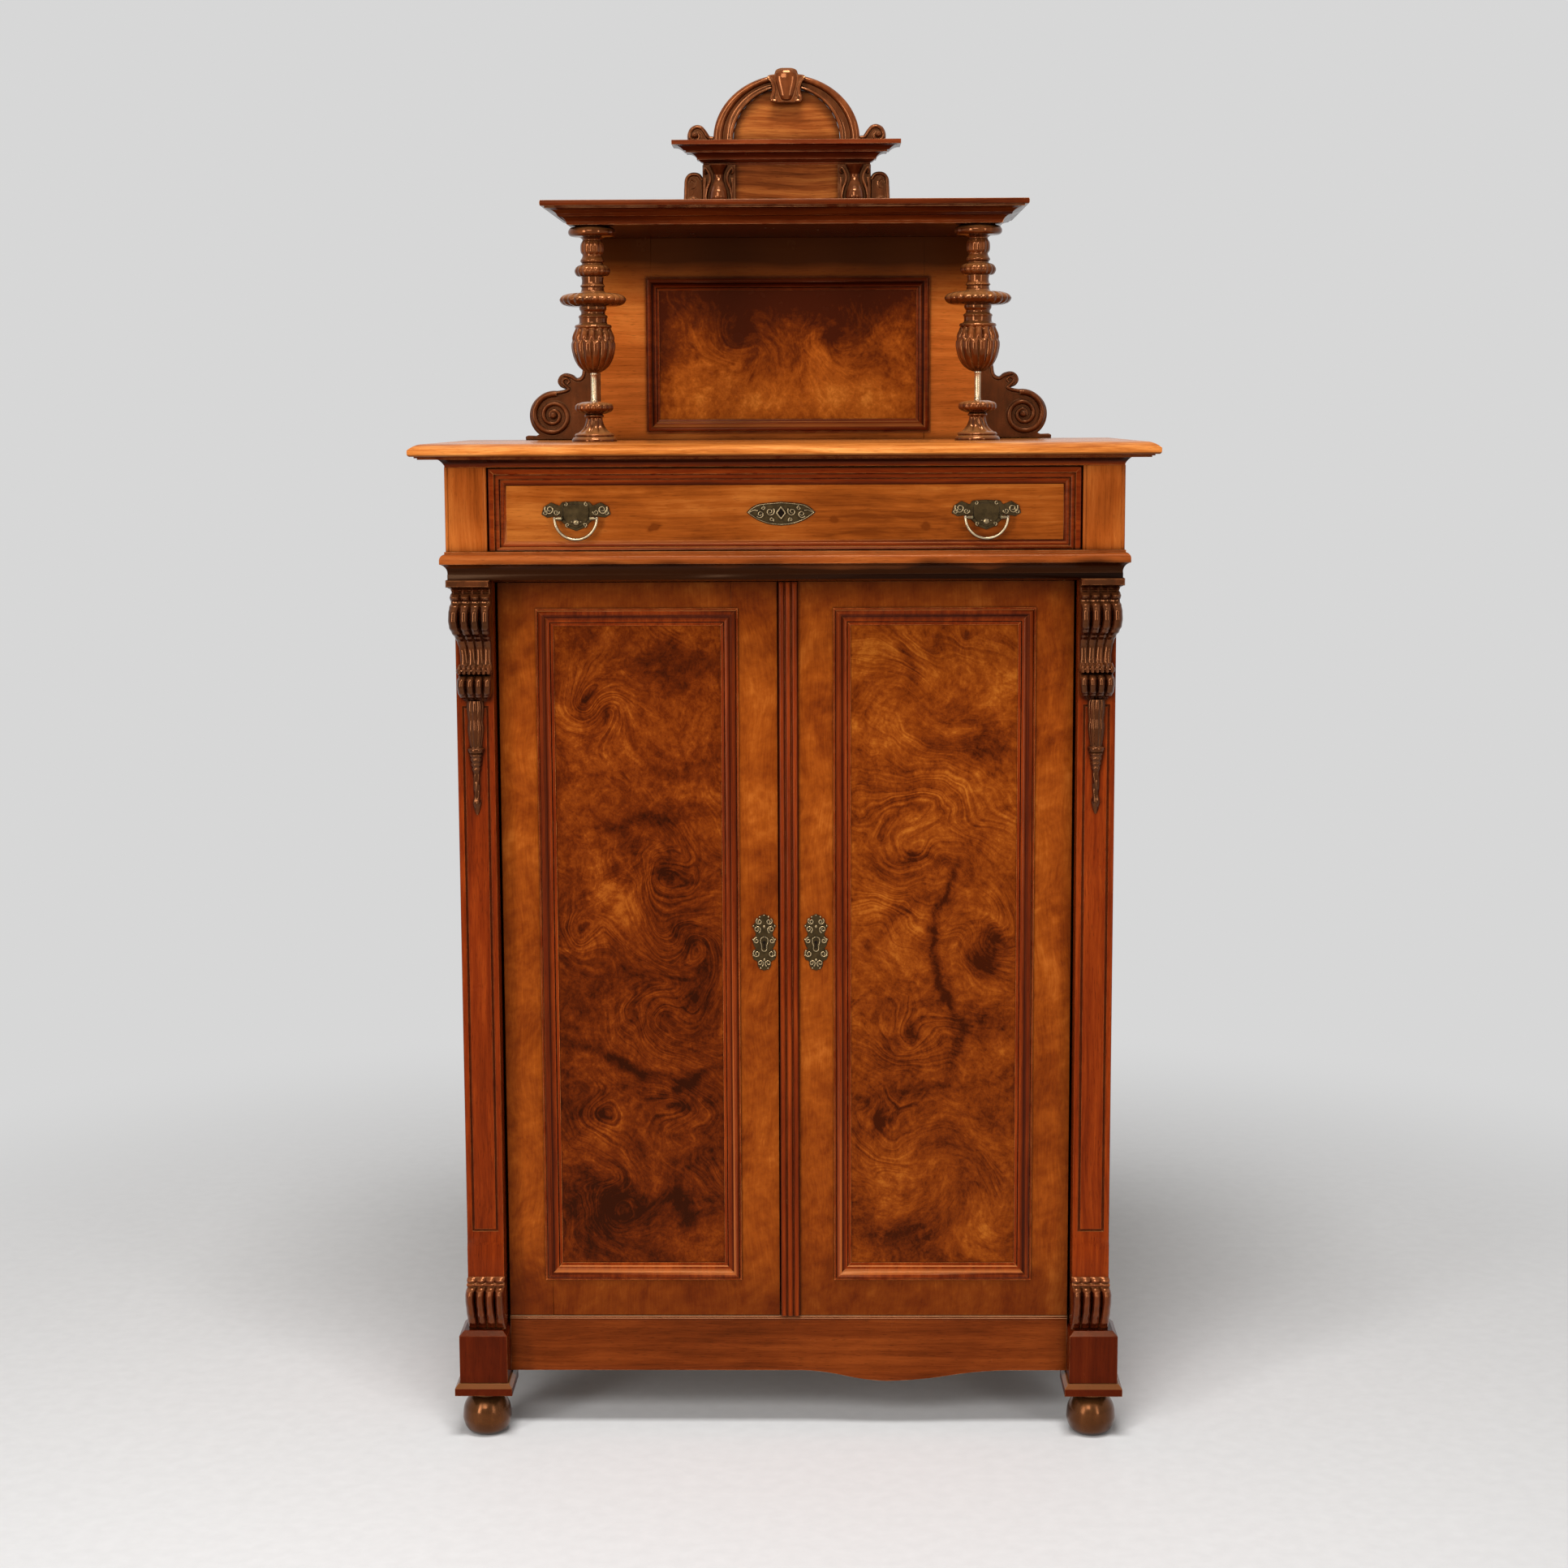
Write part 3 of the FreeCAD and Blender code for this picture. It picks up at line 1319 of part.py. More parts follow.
# The wing's edge above its ear, as shares of the ear's offset and of the wing's height
wing_crest_shares = [(0.76, 0.58), (0.56, 0.58), (0.50, 0.70, 0.10), (0, 1, 0.14)]
wing_neck_share = 0.12
volute_flat_count = 20
ear_flat_count = 10

wing_volute_x = gallery_board_half_width + wing_volute_offset
wing_ear_x = gallery_board_half_width + wing_ear_offset


def wing():
    """A scrolled bracket beside the backboard: a volute at its foot, an ear above it, a raised spiral band."""
    y0 = core_back - wing_thickness
    x0 = gallery_board_half_width
    middle = slab_top + wing_volute_radius
    ear = slab_top + wing_ear_level
    toe_x = wing_volute_x + wing_toe_reach
    toe_top = slab_top + wing_toe_height
    points = [(x0, slab_top), (toe_x, slab_top), (toe_x, toe_top), (wing_volute_x, toe_top),
              (wing_volute_x, middle), (wing_ear_x, ear - wing_ear_radius, wing_neck_share),
              (wing_ear_x, ear + wing_ear_radius)]
    points += [(x0 + s[0] * wing_ear_offset, slab_top + s[1] * wing_top_level) + tuple(s[2:])
               for s in wing_crest_shares]
    plate = plate_xz(points, y0, core_back)
    disc = plate_xz(flat_ring(wing_volute_x, middle, wing_volute_radius, volute_flat_count), y0, core_back)
    ear_disc = plate_xz(flat_ring(wing_ear_x, ear, wing_ear_radius, ear_flat_count), y0, core_back)
    plate = plate.fuse([disc, ear_disc]).removeSplitter()
    face = y0 - volute_band_proud
    band = spiral_band(wing_volute_x, middle, wing_volute_radius, volute_band_width, volute_turn_count,
                       face, y0, math.pi / 2, -1)
    eye = domed_boss(wing_volute_x, middle, volute_eye_radius, y0, face)
    return plate.fuse([band, eye])


right_wing = wing()
add("gallery_wings", pair(right_wing))


# Crest

crest_back = crest_face + crest_board_thickness
frieze = box(-crest_board_half_width, crest_board_half_width, crest_face, crest_back, gallery_top, frieze_top)
add("crest_board", frieze)

bracket_plate_shares = [(0, 0), (-0.24, 0), (-0.24, 0.62), (-0.44, 0.90, 0.10), (-0.44, 1), (0, 1)]
# Height, half width and depth of the pear-shaped lobe in front of the plate
bracket_lobe_shares = [(0.04, 0.30, 0.40), (0.12, 0.66, 0.76), (0.25, 0.90, 0.96), (0.42, 1, 1),
                       (0.64, 1, 0.88), (0.84, 0.96, 0.72), (1, 0.94, 0.64)]
lobe_swell_share = 0.5


def carved_lobe(shares, x, y_back, z0, half_width, depth, height):
    """One swelling reed, given as shares of height, half width and depth."""
    levels = [(z0 + s[0] * height, x - s[1] * half_width, x + s[1] * half_width, s[2] * depth) for s in shares]
    return reeded_block(levels, y_back, 1, lobe_swell_share)


def crest_bracket():
    """A scrolled plate with a pear-shaped lobe on its front."""
    points = [(crest_face + p[0] * crest_bracket_depth, gallery_top + p[1] * crest_frieze_height) + tuple(p[2:])
              for p in bracket_plate_shares]
    plate = plate_yz(points, crest_bracket_inner, crest_bracket_inner + crest_bracket_width)
    half = crest_bracket_lobe_width / 2
    middle = crest_bracket_inner + crest_bracket_lobe_inset + half
    lobe = carved_lobe(bracket_lobe_shares, middle, crest_face, gallery_top, half, crest_bracket_depth,
                       crest_frieze_height)
    return plate.fuse(lobe)


add("crest_brackets", pair(crest_bracket()))

side_scroll_shares = [(0, 0), (1, 0), (0.94, 0.16), (0.86, 0.42), (0.84, 0.68), (0.74, 0.90), (0.54, 1),
                      (0.24, 1), (0, 0.88)]
ear_scroll_shares = [(0, 0), (0.94, 0), (1, 0.40), (0.88, 0.82), (0.62, 1), (0.34, 0.88), (0.20, 0.50),
                     (0, 0.34)]


def crest_scrolls():
    x0 = crest_board_half_width
    points = [(x0 + p[0] * crest_scroll_width, gallery_top + p[1] * crest_scroll_height) + tuple(p[2:])
              for p in side_scroll_shares]
    side = plate_xz(points, crest_face, crest_face + crest_scroll_thickness)
    x0 = arch_outer_half_width
    points = [(x0 + p[0] * ear_scroll_width, crest_cornice_top + p[1] * ear_scroll_height)
              for p in ear_scroll_shares]
    ear = plate_xz(points, crest_face, crest_face + crest_scroll_thickness)
    return pair(side) + pair(ear)


add("crest_scrolls", crest_scrolls())

crest_cornice_shares = [(1, 0), (1, 0.10), (0.86, 0.22, 0.10), (0.80, 0.22), (0.80, 0.30),
                        (0.45, 0.50, -0.15), (0.45, 0.58), (0.38, 0.58), (0, 0.80, -0.12), (0, 1)]
cornice_half = crest_cornice_half_width
cornice = edged_board(-cornice_half, cornice_half, crest_face - crest_cornice_overhang, crest_back, frieze_top,
                      crest_cornice_top, crest_cornice_shares, crest_cornice_overhang)
add("crest_cornice", cornice)


arch_flat_count = 16
# The right edge of the keystone's plate, and the height, half width and depth of its lobe
keystone_shares = [(0.40, 0), (0.70, 0.05), (0.76, 0.18), (0.58, 0.36), (0.66, 0.54), (0.98, 0.72),
                   (0.90, 0.79), (0.58, 0.82), (0.50, 0.94), (0.30, 1)]
keystone_lobe_shares = [(0.06, 0.44, 0.60), (0.18, 0.60, 0.90), (0.46, 0.84, 1), (0.72, 1, 1),
                        (0.88, 0.92, 0.86), (1, 0.50, 0.50)]


def arch_region(half, rise, y0, y1):
    """Everything under an arch of flats, down to the strip that it stands on."""
    springing = crest_cornice_top + crest_base_strip
    return plate_xz(flat_arc(0, springing, half, rise, 0, math.pi, arch_flat_count), y0, y1)


def crest_arch():
    y0 = crest_back - arch_thickness
    outer = arch_region(arch_outer_half_width, arch_outer_rise, y0, crest_back)
    inner = arch_region(arch_inner_half_width, arch_inner_rise, y0 - overrun, crest_back + overrun)
    band = outer.cut(inner)
    strip = box(-arch_outer_half_width, arch_outer_half_width, y0, crest_back, crest_cornice_top,
                crest_cornice_top + crest_base_strip)
    band = band.fuse(strip).removeSplitter()
    half = (arch_outer_half_width + arch_inner_half_width) / 2
    rise = (arch_outer_rise + arch_inner_rise) / 2
    reach = arch_groove_width / 2
    cut = arch_region(half + reach, rise + reach, y0 - overrun, y0 + arch_groove_depth)
    keep = arch_region(half - reach, rise - reach, y0 - overrun, y0 + arch_groove_depth)
    band = band.cut(cut.cut(keep))
    top = crest_cornice_top + crest_base_strip + arch_outer_rise + keystone_rise
    foot = top - keystone_height
    points = scaled(keystone_shares, keystone_top_width / 2, keystone_height)
    points = [(x, foot + z) for x, z in points + [(-x, z) for x, z in points[::-1]]]
    keystone = plate_xz(points, y0 - keystone_fin_proud, crest_back)
    lobe = carved_lobe(keystone_lobe_shares, 0, y0, foot, keystone_width / 2, keystone_proud, keystone_height)
    keystone = keystone.fuse(lobe)
    return [band.cut(keystone), keystone]


arch_pieces = crest_arch()
add("crest_arch", arch_pieces)
lunette = arch_region(arch_inner_half_width, arch_inner_rise, crest_back - lunette_thickness, crest_back)
add("lunette_panel", lunette.cut(arch_pieces[1]))

for name, shape in nodes.items():
    shape.exportStep("parts/" + name + ".step")
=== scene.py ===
import json
import math

import bmesh
import bpy
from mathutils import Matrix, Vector

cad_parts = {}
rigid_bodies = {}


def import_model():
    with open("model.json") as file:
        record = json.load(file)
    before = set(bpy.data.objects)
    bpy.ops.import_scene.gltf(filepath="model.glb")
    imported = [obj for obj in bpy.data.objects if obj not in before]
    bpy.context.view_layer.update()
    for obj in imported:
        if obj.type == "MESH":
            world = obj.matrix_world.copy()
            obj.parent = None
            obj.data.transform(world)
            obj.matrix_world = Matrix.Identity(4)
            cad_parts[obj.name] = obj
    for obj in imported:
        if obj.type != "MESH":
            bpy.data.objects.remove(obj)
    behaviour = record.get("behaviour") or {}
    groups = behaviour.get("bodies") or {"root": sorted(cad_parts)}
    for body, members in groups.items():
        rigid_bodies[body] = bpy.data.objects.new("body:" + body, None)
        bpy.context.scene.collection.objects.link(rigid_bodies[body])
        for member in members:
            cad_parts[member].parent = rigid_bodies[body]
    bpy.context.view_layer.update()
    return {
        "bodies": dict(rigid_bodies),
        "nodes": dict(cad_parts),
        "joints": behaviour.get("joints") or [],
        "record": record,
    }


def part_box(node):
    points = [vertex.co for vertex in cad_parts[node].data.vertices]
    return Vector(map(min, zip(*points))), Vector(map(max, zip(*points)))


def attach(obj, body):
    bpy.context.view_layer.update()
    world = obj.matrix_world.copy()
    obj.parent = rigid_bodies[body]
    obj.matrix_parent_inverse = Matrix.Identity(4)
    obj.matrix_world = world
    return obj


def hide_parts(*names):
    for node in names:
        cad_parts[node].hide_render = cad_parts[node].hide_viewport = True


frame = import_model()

NODES = frame["nodes"]
JOINTS = {joint["name"]: joint for joint in frame["joints"]}
MOUNTS = {mount["name"]: mount for mount in frame["record"]["mounts"]}
TAU = math.tau


def millimetres(place):
    return [round(c * 1000, 3) for c in place]


def box(node):
    """A node's low and high corners in millimetres."""
    return [millimetres(corner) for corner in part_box(node)]


# Shader nodes, built by calls that return sockets

def feed(socket, value):
    if isinstance(value, bpy.types.NodeSocket):
        socket.id_data.links.new(value, socket)
    elif isinstance(value, (tuple, list)) and len(value) == 3 and len(socket.default_value) == 4:
        socket.default_value = (*value, 1)
    else:
        socket.default_value = value


def add_node(tree, kind, inputs=None, **settings):
    """A new shader node, its inputs fed with values or linked to sockets."""
    made = tree.nodes.new("ShaderNode" + kind)
    for key, value in settings.items():
        setattr(made, key, value)
    for key, value in (inputs or {}).items():
        feed(made.inputs[key], value)
    return made


class Shader:
    def __init__(self, name):
        self.material = bpy.data.materials.new(name)
        self.material.use_nodes = True
        self.tree = self.material.node_tree
        self.tree.nodes.clear()
        self.surface = self.node("BsdfPrincipled")
        self.output = self.node("OutputMaterial", {0: self.surface.outputs[0]})
        self.here = self.node("TexCoord").outputs["Object"]
        board = self.node("Attribute", attribute_name="board").outputs["Fac"]
        shift = self.node("CombineXYZ", {0: board, 1: board, 2: board}).outputs[0]
        self.place = self.vector("ADD", self.here, self.vector("MULTIPLY", shift, (3.1, 1.7, 2.3)))

    def node(self, kind, inputs=None, **settings):
        return add_node(self.tree, kind, inputs, **settings)

    def math(self, operation, a, b=0.0):
        return self.node("Math", {0: a, 1: b}, operation=operation).outputs[0]

    def weighted(self, *terms):
        """0.5 plus each (value around 0.5, weight)."""
        total = 0.5
        for value, weight in terms:
            swing = self.math("SUBTRACT", value, 0.5)
            made = self.node("Math", {0: swing, 1: weight, 2: total}, operation="MULTIPLY_ADD")
            total = made.outputs[0]
        return total

    def vector(self, operation, a, b=(0, 0, 0)):
        made = self.node("VectorMath", {0: a, 1: b}, operation=operation)
        return made.outputs["Value"] if operation in ("LENGTH", "DOT_PRODUCT") else made.outputs[0]

    def stretched(self, place, x, y, z):
        return self.vector("MULTIPLY", place, (x, y, z))

    def height(self, place):
        return self.node("SeparateXYZ", {0: place}).outputs[2]

    def noise(self, place, scale, detail=3.0, rough=0.55, distortion=0.0):
        return self.node("TexNoise", {"Vector": place, "Scale": scale, "Detail": detail,
                                               "Roughness": rough, "Distortion": distortion}).outputs[0]

    def warped(self, place, scale, reach, detail=1.0):
        """The place, pushed about by up to half the reach."""
        push = self.node("TexNoise", {"Vector": place, "Scale": scale, "Detail": detail}).outputs[1]
        push = self.vector("SUBTRACT", push, (0.5, 0.5, 0.5))
        push = self.node("VectorMath", {0: push, "Scale": reach}, operation="SCALE").outputs[0]
        return self.vector("ADD", place, push)

    def turned(self, place, angle, centre=(0, 0, 0)):
        return self.node("VectorRotate", {"Vector": place, "Center": centre, "Angle": angle},
                         rotation_type="Y_AXIS").outputs[0]

    def bell(self, place, x, z, wide, high=None, turn=0.0):
        """A soft spot on the front: 1 in its middle, fading outwards."""
        away = self.vector("SUBTRACT", place, (x, 0.0, z))
        if turn:
            away = self.turned(away, turn)
        away = self.stretched(away, 1.0 / wide, 0.0, 1.0 / (high or wide))
        return self.math("EXPONENT", self.math("MULTIPLY", self.vector("DOT_PRODUCT", away, away), -1.0))

    def ramp(self, value, stops):
        made = self.node("ValToRGB", {0: value})
        ramp = made.color_ramp
        while len(ramp.elements) < len(stops):
            ramp.elements.new(0.5)
        for element, (position, colour) in zip(ramp.elements, stops):
            element.position = position
            element.color = (*colour, 1)
        return made.outputs[0]

    def mix(self, share, a, b):
        made = self.node("Mix", data_type="RGBA")
        sockets = [s for s in made.inputs if s.enabled]
        for socket, value in zip(sockets, (share, a, b)):
            feed(socket, value)
        return [s for s in made.outputs if s.enabled][0]

    def range(self, value, low, high, to_low=0.0, to_high=1.0):
        return self.node("MapRange", {"Value": value, "From Min": low, "From Max": high,
                                               "To Min": to_low, "To Max": to_high}).outputs[0]

    def bump(self, height, strength, distance=0.001):
        return self.node("Bump", {"Height": height, "Strength": strength, "Distance": distance}).outputs[0]

    def gloss(self, place, scale, detail, low, high):
        return self.range(self.noise(place, scale, detail), 0.3, 0.7, low, high)

    def open_share(self, distance):
        """1 in the open, falling to 0 in corners."""
        return self.node("AmbientOcclusion", {"Distance": distance}, samples=5).outputs["AO"]

    def edge(self, radius):
        """0 on flats, rising along sharp edges."""
        soft = self.node("Bevel", {"Radius": radius}, samples=4).outputs[0]
        hard = self.node("NewGeometry").outputs["Normal"]
        return self.math("SUBTRACT", 1.0, self.vector("DOT_PRODUCT", soft, hard))

    def aged_with_painted_light(self, colour, dark, wear_and_highlight, wear_and_highlight_share, hollow_shade, wear_and_highlight_radius=0.0014, reach=0.016, under=0.75,
             slope_shade=0.0, top_light=0.0):
        """Rubbed along its edges, with a painted highlight there and painted light on its ledges; painted shade in its
        corners, on its undersides and sloping faces. In metal the darkening in the hollows also stands for tarnish.
        """
        patchy = self.range(self.noise(self.place, 55.0, 3.0), 0.3, 0.62)
        # Wear along the edges, rubbed and with a painted highlight
        rubbed_and_highlit = self.range(self.math("MULTIPLY", self.edge(wear_and_highlight_radius), patchy), 0.02, 0.3, 0.0, wear_and_highlight_share)
        colour = self.mix(rubbed_and_highlit, colour, wear_and_highlight)
        # Painted shade in corners and recesses
        shade = self.range(self.open_share(reach), 0.3, 0.95, hollow_shade, 0.0)
        normal = self.node("TexCoord").outputs["Normal"]
        facing = self.vector("DOT_PRODUCT", normal, (0, 0, 1))
        # Painted light on upward faces
        if top_light:
            colour = self.mix(self.range(facing, 0.25, 0.8, 0.0, top_light), colour, wear_and_highlight)
        # Painted shade on undersides
        shade = self.math("MAXIMUM", shade, self.range(facing, -0.15, -0.75, 0.0, under))
        # Painted shade on faces turned away from the front
        if slope_shade:
            front = self.math("ABSOLUTE", self.vector("DOT_PRODUCT", normal, (0, 1, 0)))
            turned = self.math("MULTIPLY", self.range(front, 0.98, 0.7, 0.0, slope_shade),
                               self.range(facing, 0.5, 0.2))
            turned = self.math("MULTIPLY", turned, self.range(front, 0.1, 0.3))
            shade = self.math("MAXIMUM", shade, turned)
        return self.mix(shade, colour, tuple(c * 0.1 for c in dark))

    def finish(self, colour, rough, normal=None, metallic=0.0, specular=0.2, tint=(1.0, 0.55, 0.3)):
        for key, value in (("Base Color", colour), ("Roughness", rough), ("Metallic", metallic),
                           ("Specular IOR Level", specular), ("Specular Tint", tint), ("Normal", normal)):
            if value is not None:
                feed(self.surface.inputs[key], value)
        return self.material


# Materials

def tones(*colours):
    """Colours given in thousandths."""
    return [tuple(c / 1000 for c in colour) for colour in colours]


def grained(name, axis, dark, middle, light, cloud=0.5, streak=0.6, wear_and_highlight=(0.62, 0.25, 0.06), wear_and_highlight_share=0.5,
            hollow_shade=0.75, rough=0.22, specular=0.15, reach=0.016, knots=(), shadow_band=None, slope_shade=0.0, under=0.75,
            top_light=0.0):
    """Polished wood with its grain along one axis. A shadow band is painted shadow that darkens it from one height to
    another.
    """
    def along(lengthwise):
        return tuple(lengthwise if name == axis else 1.0 for name in "xyz")

    s = Shader(name)
    bent = s.warped(s.place, 5.0, 0.02)
    clouds = s.noise(s.stretched(bent, *along(0.4)), 8.0, 4.0, 0.6, 0.5)
    streaks = s.noise(s.stretched(bent, *along(0.035)), 95.0, 4.0, 0.62)
    fibres = s.noise(s.stretched(bent, *along(0.05)), 480.0, 2.0)
    pores = s.noise(s.stretched(s.place, *along(0.09)), 900.0, 1.0)
    tone = s.weighted((clouds, cloud * 1.9), (streaks, streak * 1.3), (fibres, streak * 0.5))
    for x, z, size, turn in knots:
        tone = s.math("SUBTRACT", tone, s.bell(s.warped(s.here, 60.0, 0.012), x, z, size, size * 0.6, turn))
    colour = s.ramp(tone, [(0.1, dark), (0.5, middle), (0.9, light)])
    colour = s.mix(s.range(pores, 0.6, 0.74, 0.0, 0.4), colour, tuple(c * 0.3 for c in dark))
    colour = s.aged_with_painted_light(colour, dark, wear_and_highlight, wear_and_highlight_share, hollow_shade, reach=reach, under=under, slope_shade=slope_shade, top_light=top_light)
    # Painted shadow, darker from one height to another
    if shadow_band:
        low, high, share = shadow_band
        level = s.height(s.warped(s.here, 9.0, 0.03))
        colour = s.mix(s.range(level, low, high, 0.0, share), colour, tuple(c * 0.12 for c in dark))
    relief = s.weighted((streaks, 0.6), (fibres, 0.3), (pores, -0.3))
    return s.finish(colour, s.gloss(s.place, 24.0, 4.0, rough * 0.8, rough * 1.25), s.bump(relief, 0.12, 0.0006),
                    specular=specular)


def burr(name, stops, flow, swirls, eyes, clouds, seed, light_fall, lines=1.0, contrast=1.0, shaded=0.26):
    """Burr walnut: growth lines that wind round eyes, under smoky clouds, sizes in millimetres on the front.

    Swirls are (x, z, size, turn), eyes (x, z, size, rise, shade), clouds (x, z, width, height, turn, shade);
    light_fall is two heights in metres with the tone added at each, painted light and shade that change with
    height; shaded is the tone of the second stop."""
    swirls, eyes, clouds = ([[v / 1000 for v in row[:sizes]] + list(row[sizes:]) for row in rows]
                            for rows, sizes in ((swirls, 3), (eyes, 4), (clouds, 4)))
    stops = list(zip((0.02, shaded, 0.5, 0.74, 1.0), tones(*stops)))
    s = Shader(name)
    flat = s.vector("ADD", s.stretched(s.here, 1, 0, 1), (0, seed, 0))
    place = s.warped(s.warped(flat, 7.0, 0.04), 22.0, 0.01)
    for x, z, size, turn in swirls:
        place = s.turned(place, s.math("MULTIPLY", s.bell(place, x, z, size), turn), (x, 0.0, z))
    level = s.vector("DOT_PRODUCT", place, (flow[0], 0.0, flow[1]))
    level = s.math("ADD", level, s.math("MULTIPLY", s.noise(place, 9.0, 2.0, 0.5), 0.12))
    near = 0.0
    for x, z, size, rise, _ in eyes:
        level = s.math("ADD", level, s.math("MULTIPLY", s.bell(place, x, z, size * 1.5, size), rise))
        near = s.math("MAXIMUM", near, s.bell(place, x, z, size * 2.6, size * 2.2))
    near = s.math("MAXIMUM", near, s.range(s.noise(flat, 9.0, 2.0), 0.5, 0.72))
    steps = s.node("CombineXYZ", {0: s.math("MULTIPLY", level, 170.0)}).outputs[0]
    rings = s.noise(s.vector("ADD", steps, s.stretched(place, 9.0, 0.0, 9.0)), 1.0, 3.0, 0.6)
    fine = s.node("CombineXYZ", {0: s.math("MULTIPLY", level, 900.0)}).outputs[0]
    fibres = s.noise(s.vector("ADD", fine, s.stretched(place, 90.0, 0.0, 90.0)), 1.0, 2.0)
    smoke = s.noise(place, 10.0, 6.0, 0.68, 0.6)
    mottle = s.noise(s.warped(place, 46.0, 0.02, 2.0), 60.0, 4.0, 0.7)
    flecks = s.noise(s.stretched(s.warped(flat, 70.0, 0.016), 1.0, 1.0, 0.6), 230.0, 3.0, 0.65)
    ringed = s.math("MULTIPLY", s.math("SUBTRACT", rings, 0.5), s.range(near, 0.0, 0.8, 0.12, 1.6))
    tone = s.weighted((fibres, 0.22 * lines), (smoke, 1.6 * contrast), (mottle, contrast), (flecks, 0.5 * contrast))
    tone = s.math("ADD", tone, s.math("MULTIPLY", ringed, lines))
    for x, z, size, _, shade in eyes:
        spot = s.bell(place, x, z, size * 0.5, size * 0.36)
        tone = s.math("SUBTRACT", tone, s.math("MULTIPLY", spot, shade))
    wide = s.warped(flat, 24.0, 0.035, 4.0)
    for x, z, width, high, turn, shade in clouds:
        tone = s.math("SUBTRACT", tone, s.math("MULTIPLY", s.bell(wide, x, z, width, high, turn), shade))
    # Painted light and shade that change with height
    tone = s.math("ADD", tone, s.range(s.height(s.warped(s.here, 3.0, 0.25)), *light_fall))
    # Rubbed edges with a painted highlight, painted shade in corners and beneath
    colour = s.aged_with_painted_light(s.ramp(tone, stops), stops[1][1], (0.5, 0.2, 0.05), 0.3, 0.85, reach=0.02)
    relief = s.weighted((rings, 0.5), (mottle, 0.3), (fibres, 0.3))
    return s.finish(colour, s.gloss(flat, 30.0, 3.0, 0.2, 0.3), s.bump(relief, 0.07, 0.0005), specular=0.15)


def carved_wood(name, wood, wear_and_highlight=(0.7, 0.32, 0.13), wear_and_highlight_share=0.6, rough=0.11, specular=1.0, top_light=0.1):
    """Dark polished carving, rubbed bright on its high places with a painted highlight there, painted light on its
    upward faces, and painted black shade in its hollows and undersides.
    """
    s = Shader(name)
    colours = tones(*wood)
    streaks = s.noise(s.stretched(s.warped(s.place, 9.0, 0.02), 1.0, 1.0, 0.07), 120.0, 3.0, 0.6)
    clouds = s.noise(s.place, 26.0, 3.0)
    colour = s.ramp(s.weighted((streaks, 0.8), (clouds, 1.2)), list(zip((0.15, 0.5, 0.88), colours)))
    # Rubbed high places with a painted highlight, painted shade in hollows and beneath, painted light on upward faces
    colour = s.aged_with_painted_light(colour, colours[0], wear_and_highlight, wear_and_highlight_share, 0.97, 0.003, 0.012, top_light=top_light)
    knife = s.noise(s.stretched(s.place, 1.0, 1.0, 0.3), 240.0, 2.0)
    relief = s.weighted((knife, 0.7), (streaks, 0.4))
    return s.finish(colour, s.gloss(s.place, 60.0, 3.0, rough * 0.75, rough * 1.4), s.bump(relief, 0.06, 0.0008),
                    specular=specular, tint=(1.0, 0.38, 0.15))


def door_veneer(name, seed):
    """Golden cloudy veneer with soft cross ripples, with painted shade along the top and bottom rails."""
    s = Shader(name)
    flat = s.vector("ADD", s.place, (seed, 0.0, seed))
    bent = s.warped(flat, 6.0, 0.05)
    clouds = s.noise(s.stretched(bent, 1.0, 1.0, 0.55), 13.0, 5.0, 0.62, 0.8)
    tilted = s.turned(s.warped(flat, 22.0, 0.018), 0.5)
    ripples = s.noise(s.stretched(tilted, 0.16, 1.0, 1.0), 75.0, 3.0, 0.55)
    fibres = s.noise(s.stretched(bent, 1.0, 1.0, 0.06), 420.0, 2.0)
    mottle = s.noise(s.warped(bent, 50.0, 0.01), 55.0, 4.0, 0.6)
    tone = s.weighted((clouds, 1.35), (ripples, 0.3), (fibres, 0.4), (mottle, 0.55))
    colour = s.ramp(tone, [(0.08, (0.09, 0.011, 0.001)), (0.36, (0.19, 0.031, 0.002)), (0.62, (0.285, 0.056, 0.004)),
        (0.92, (0.44, 0.11, 0.012))])
    level = s.height(s.warped(s.here, 9.0, 0.05))
    # Painted shade along the bottom and top rails
    for low, high, share in ((0.3, 0.2, 0.55), (1.21, 1.25, 0.5)):
        colour = s.mix(s.range(level, low, high, 0.0, share), colour, (0.06, 0.006, 0.001))
    # Rubbed edges with a painted highlight, painted shade in corners and beneath
    colour = s.aged_with_painted_light(colour, (0.1, 0.012, 0.001), (0.5, 0.2, 0.05), 0.35, 0.85, reach=0.02)
    relief = s.weighted((fibres, 0.5), (ripples, 0.4))
    return s.finish(colour, s.gloss(flat, 26.0, 3.0, 0.22, 0.32), s.bump(relief, 0.08, 0.0005), specular=0.15)


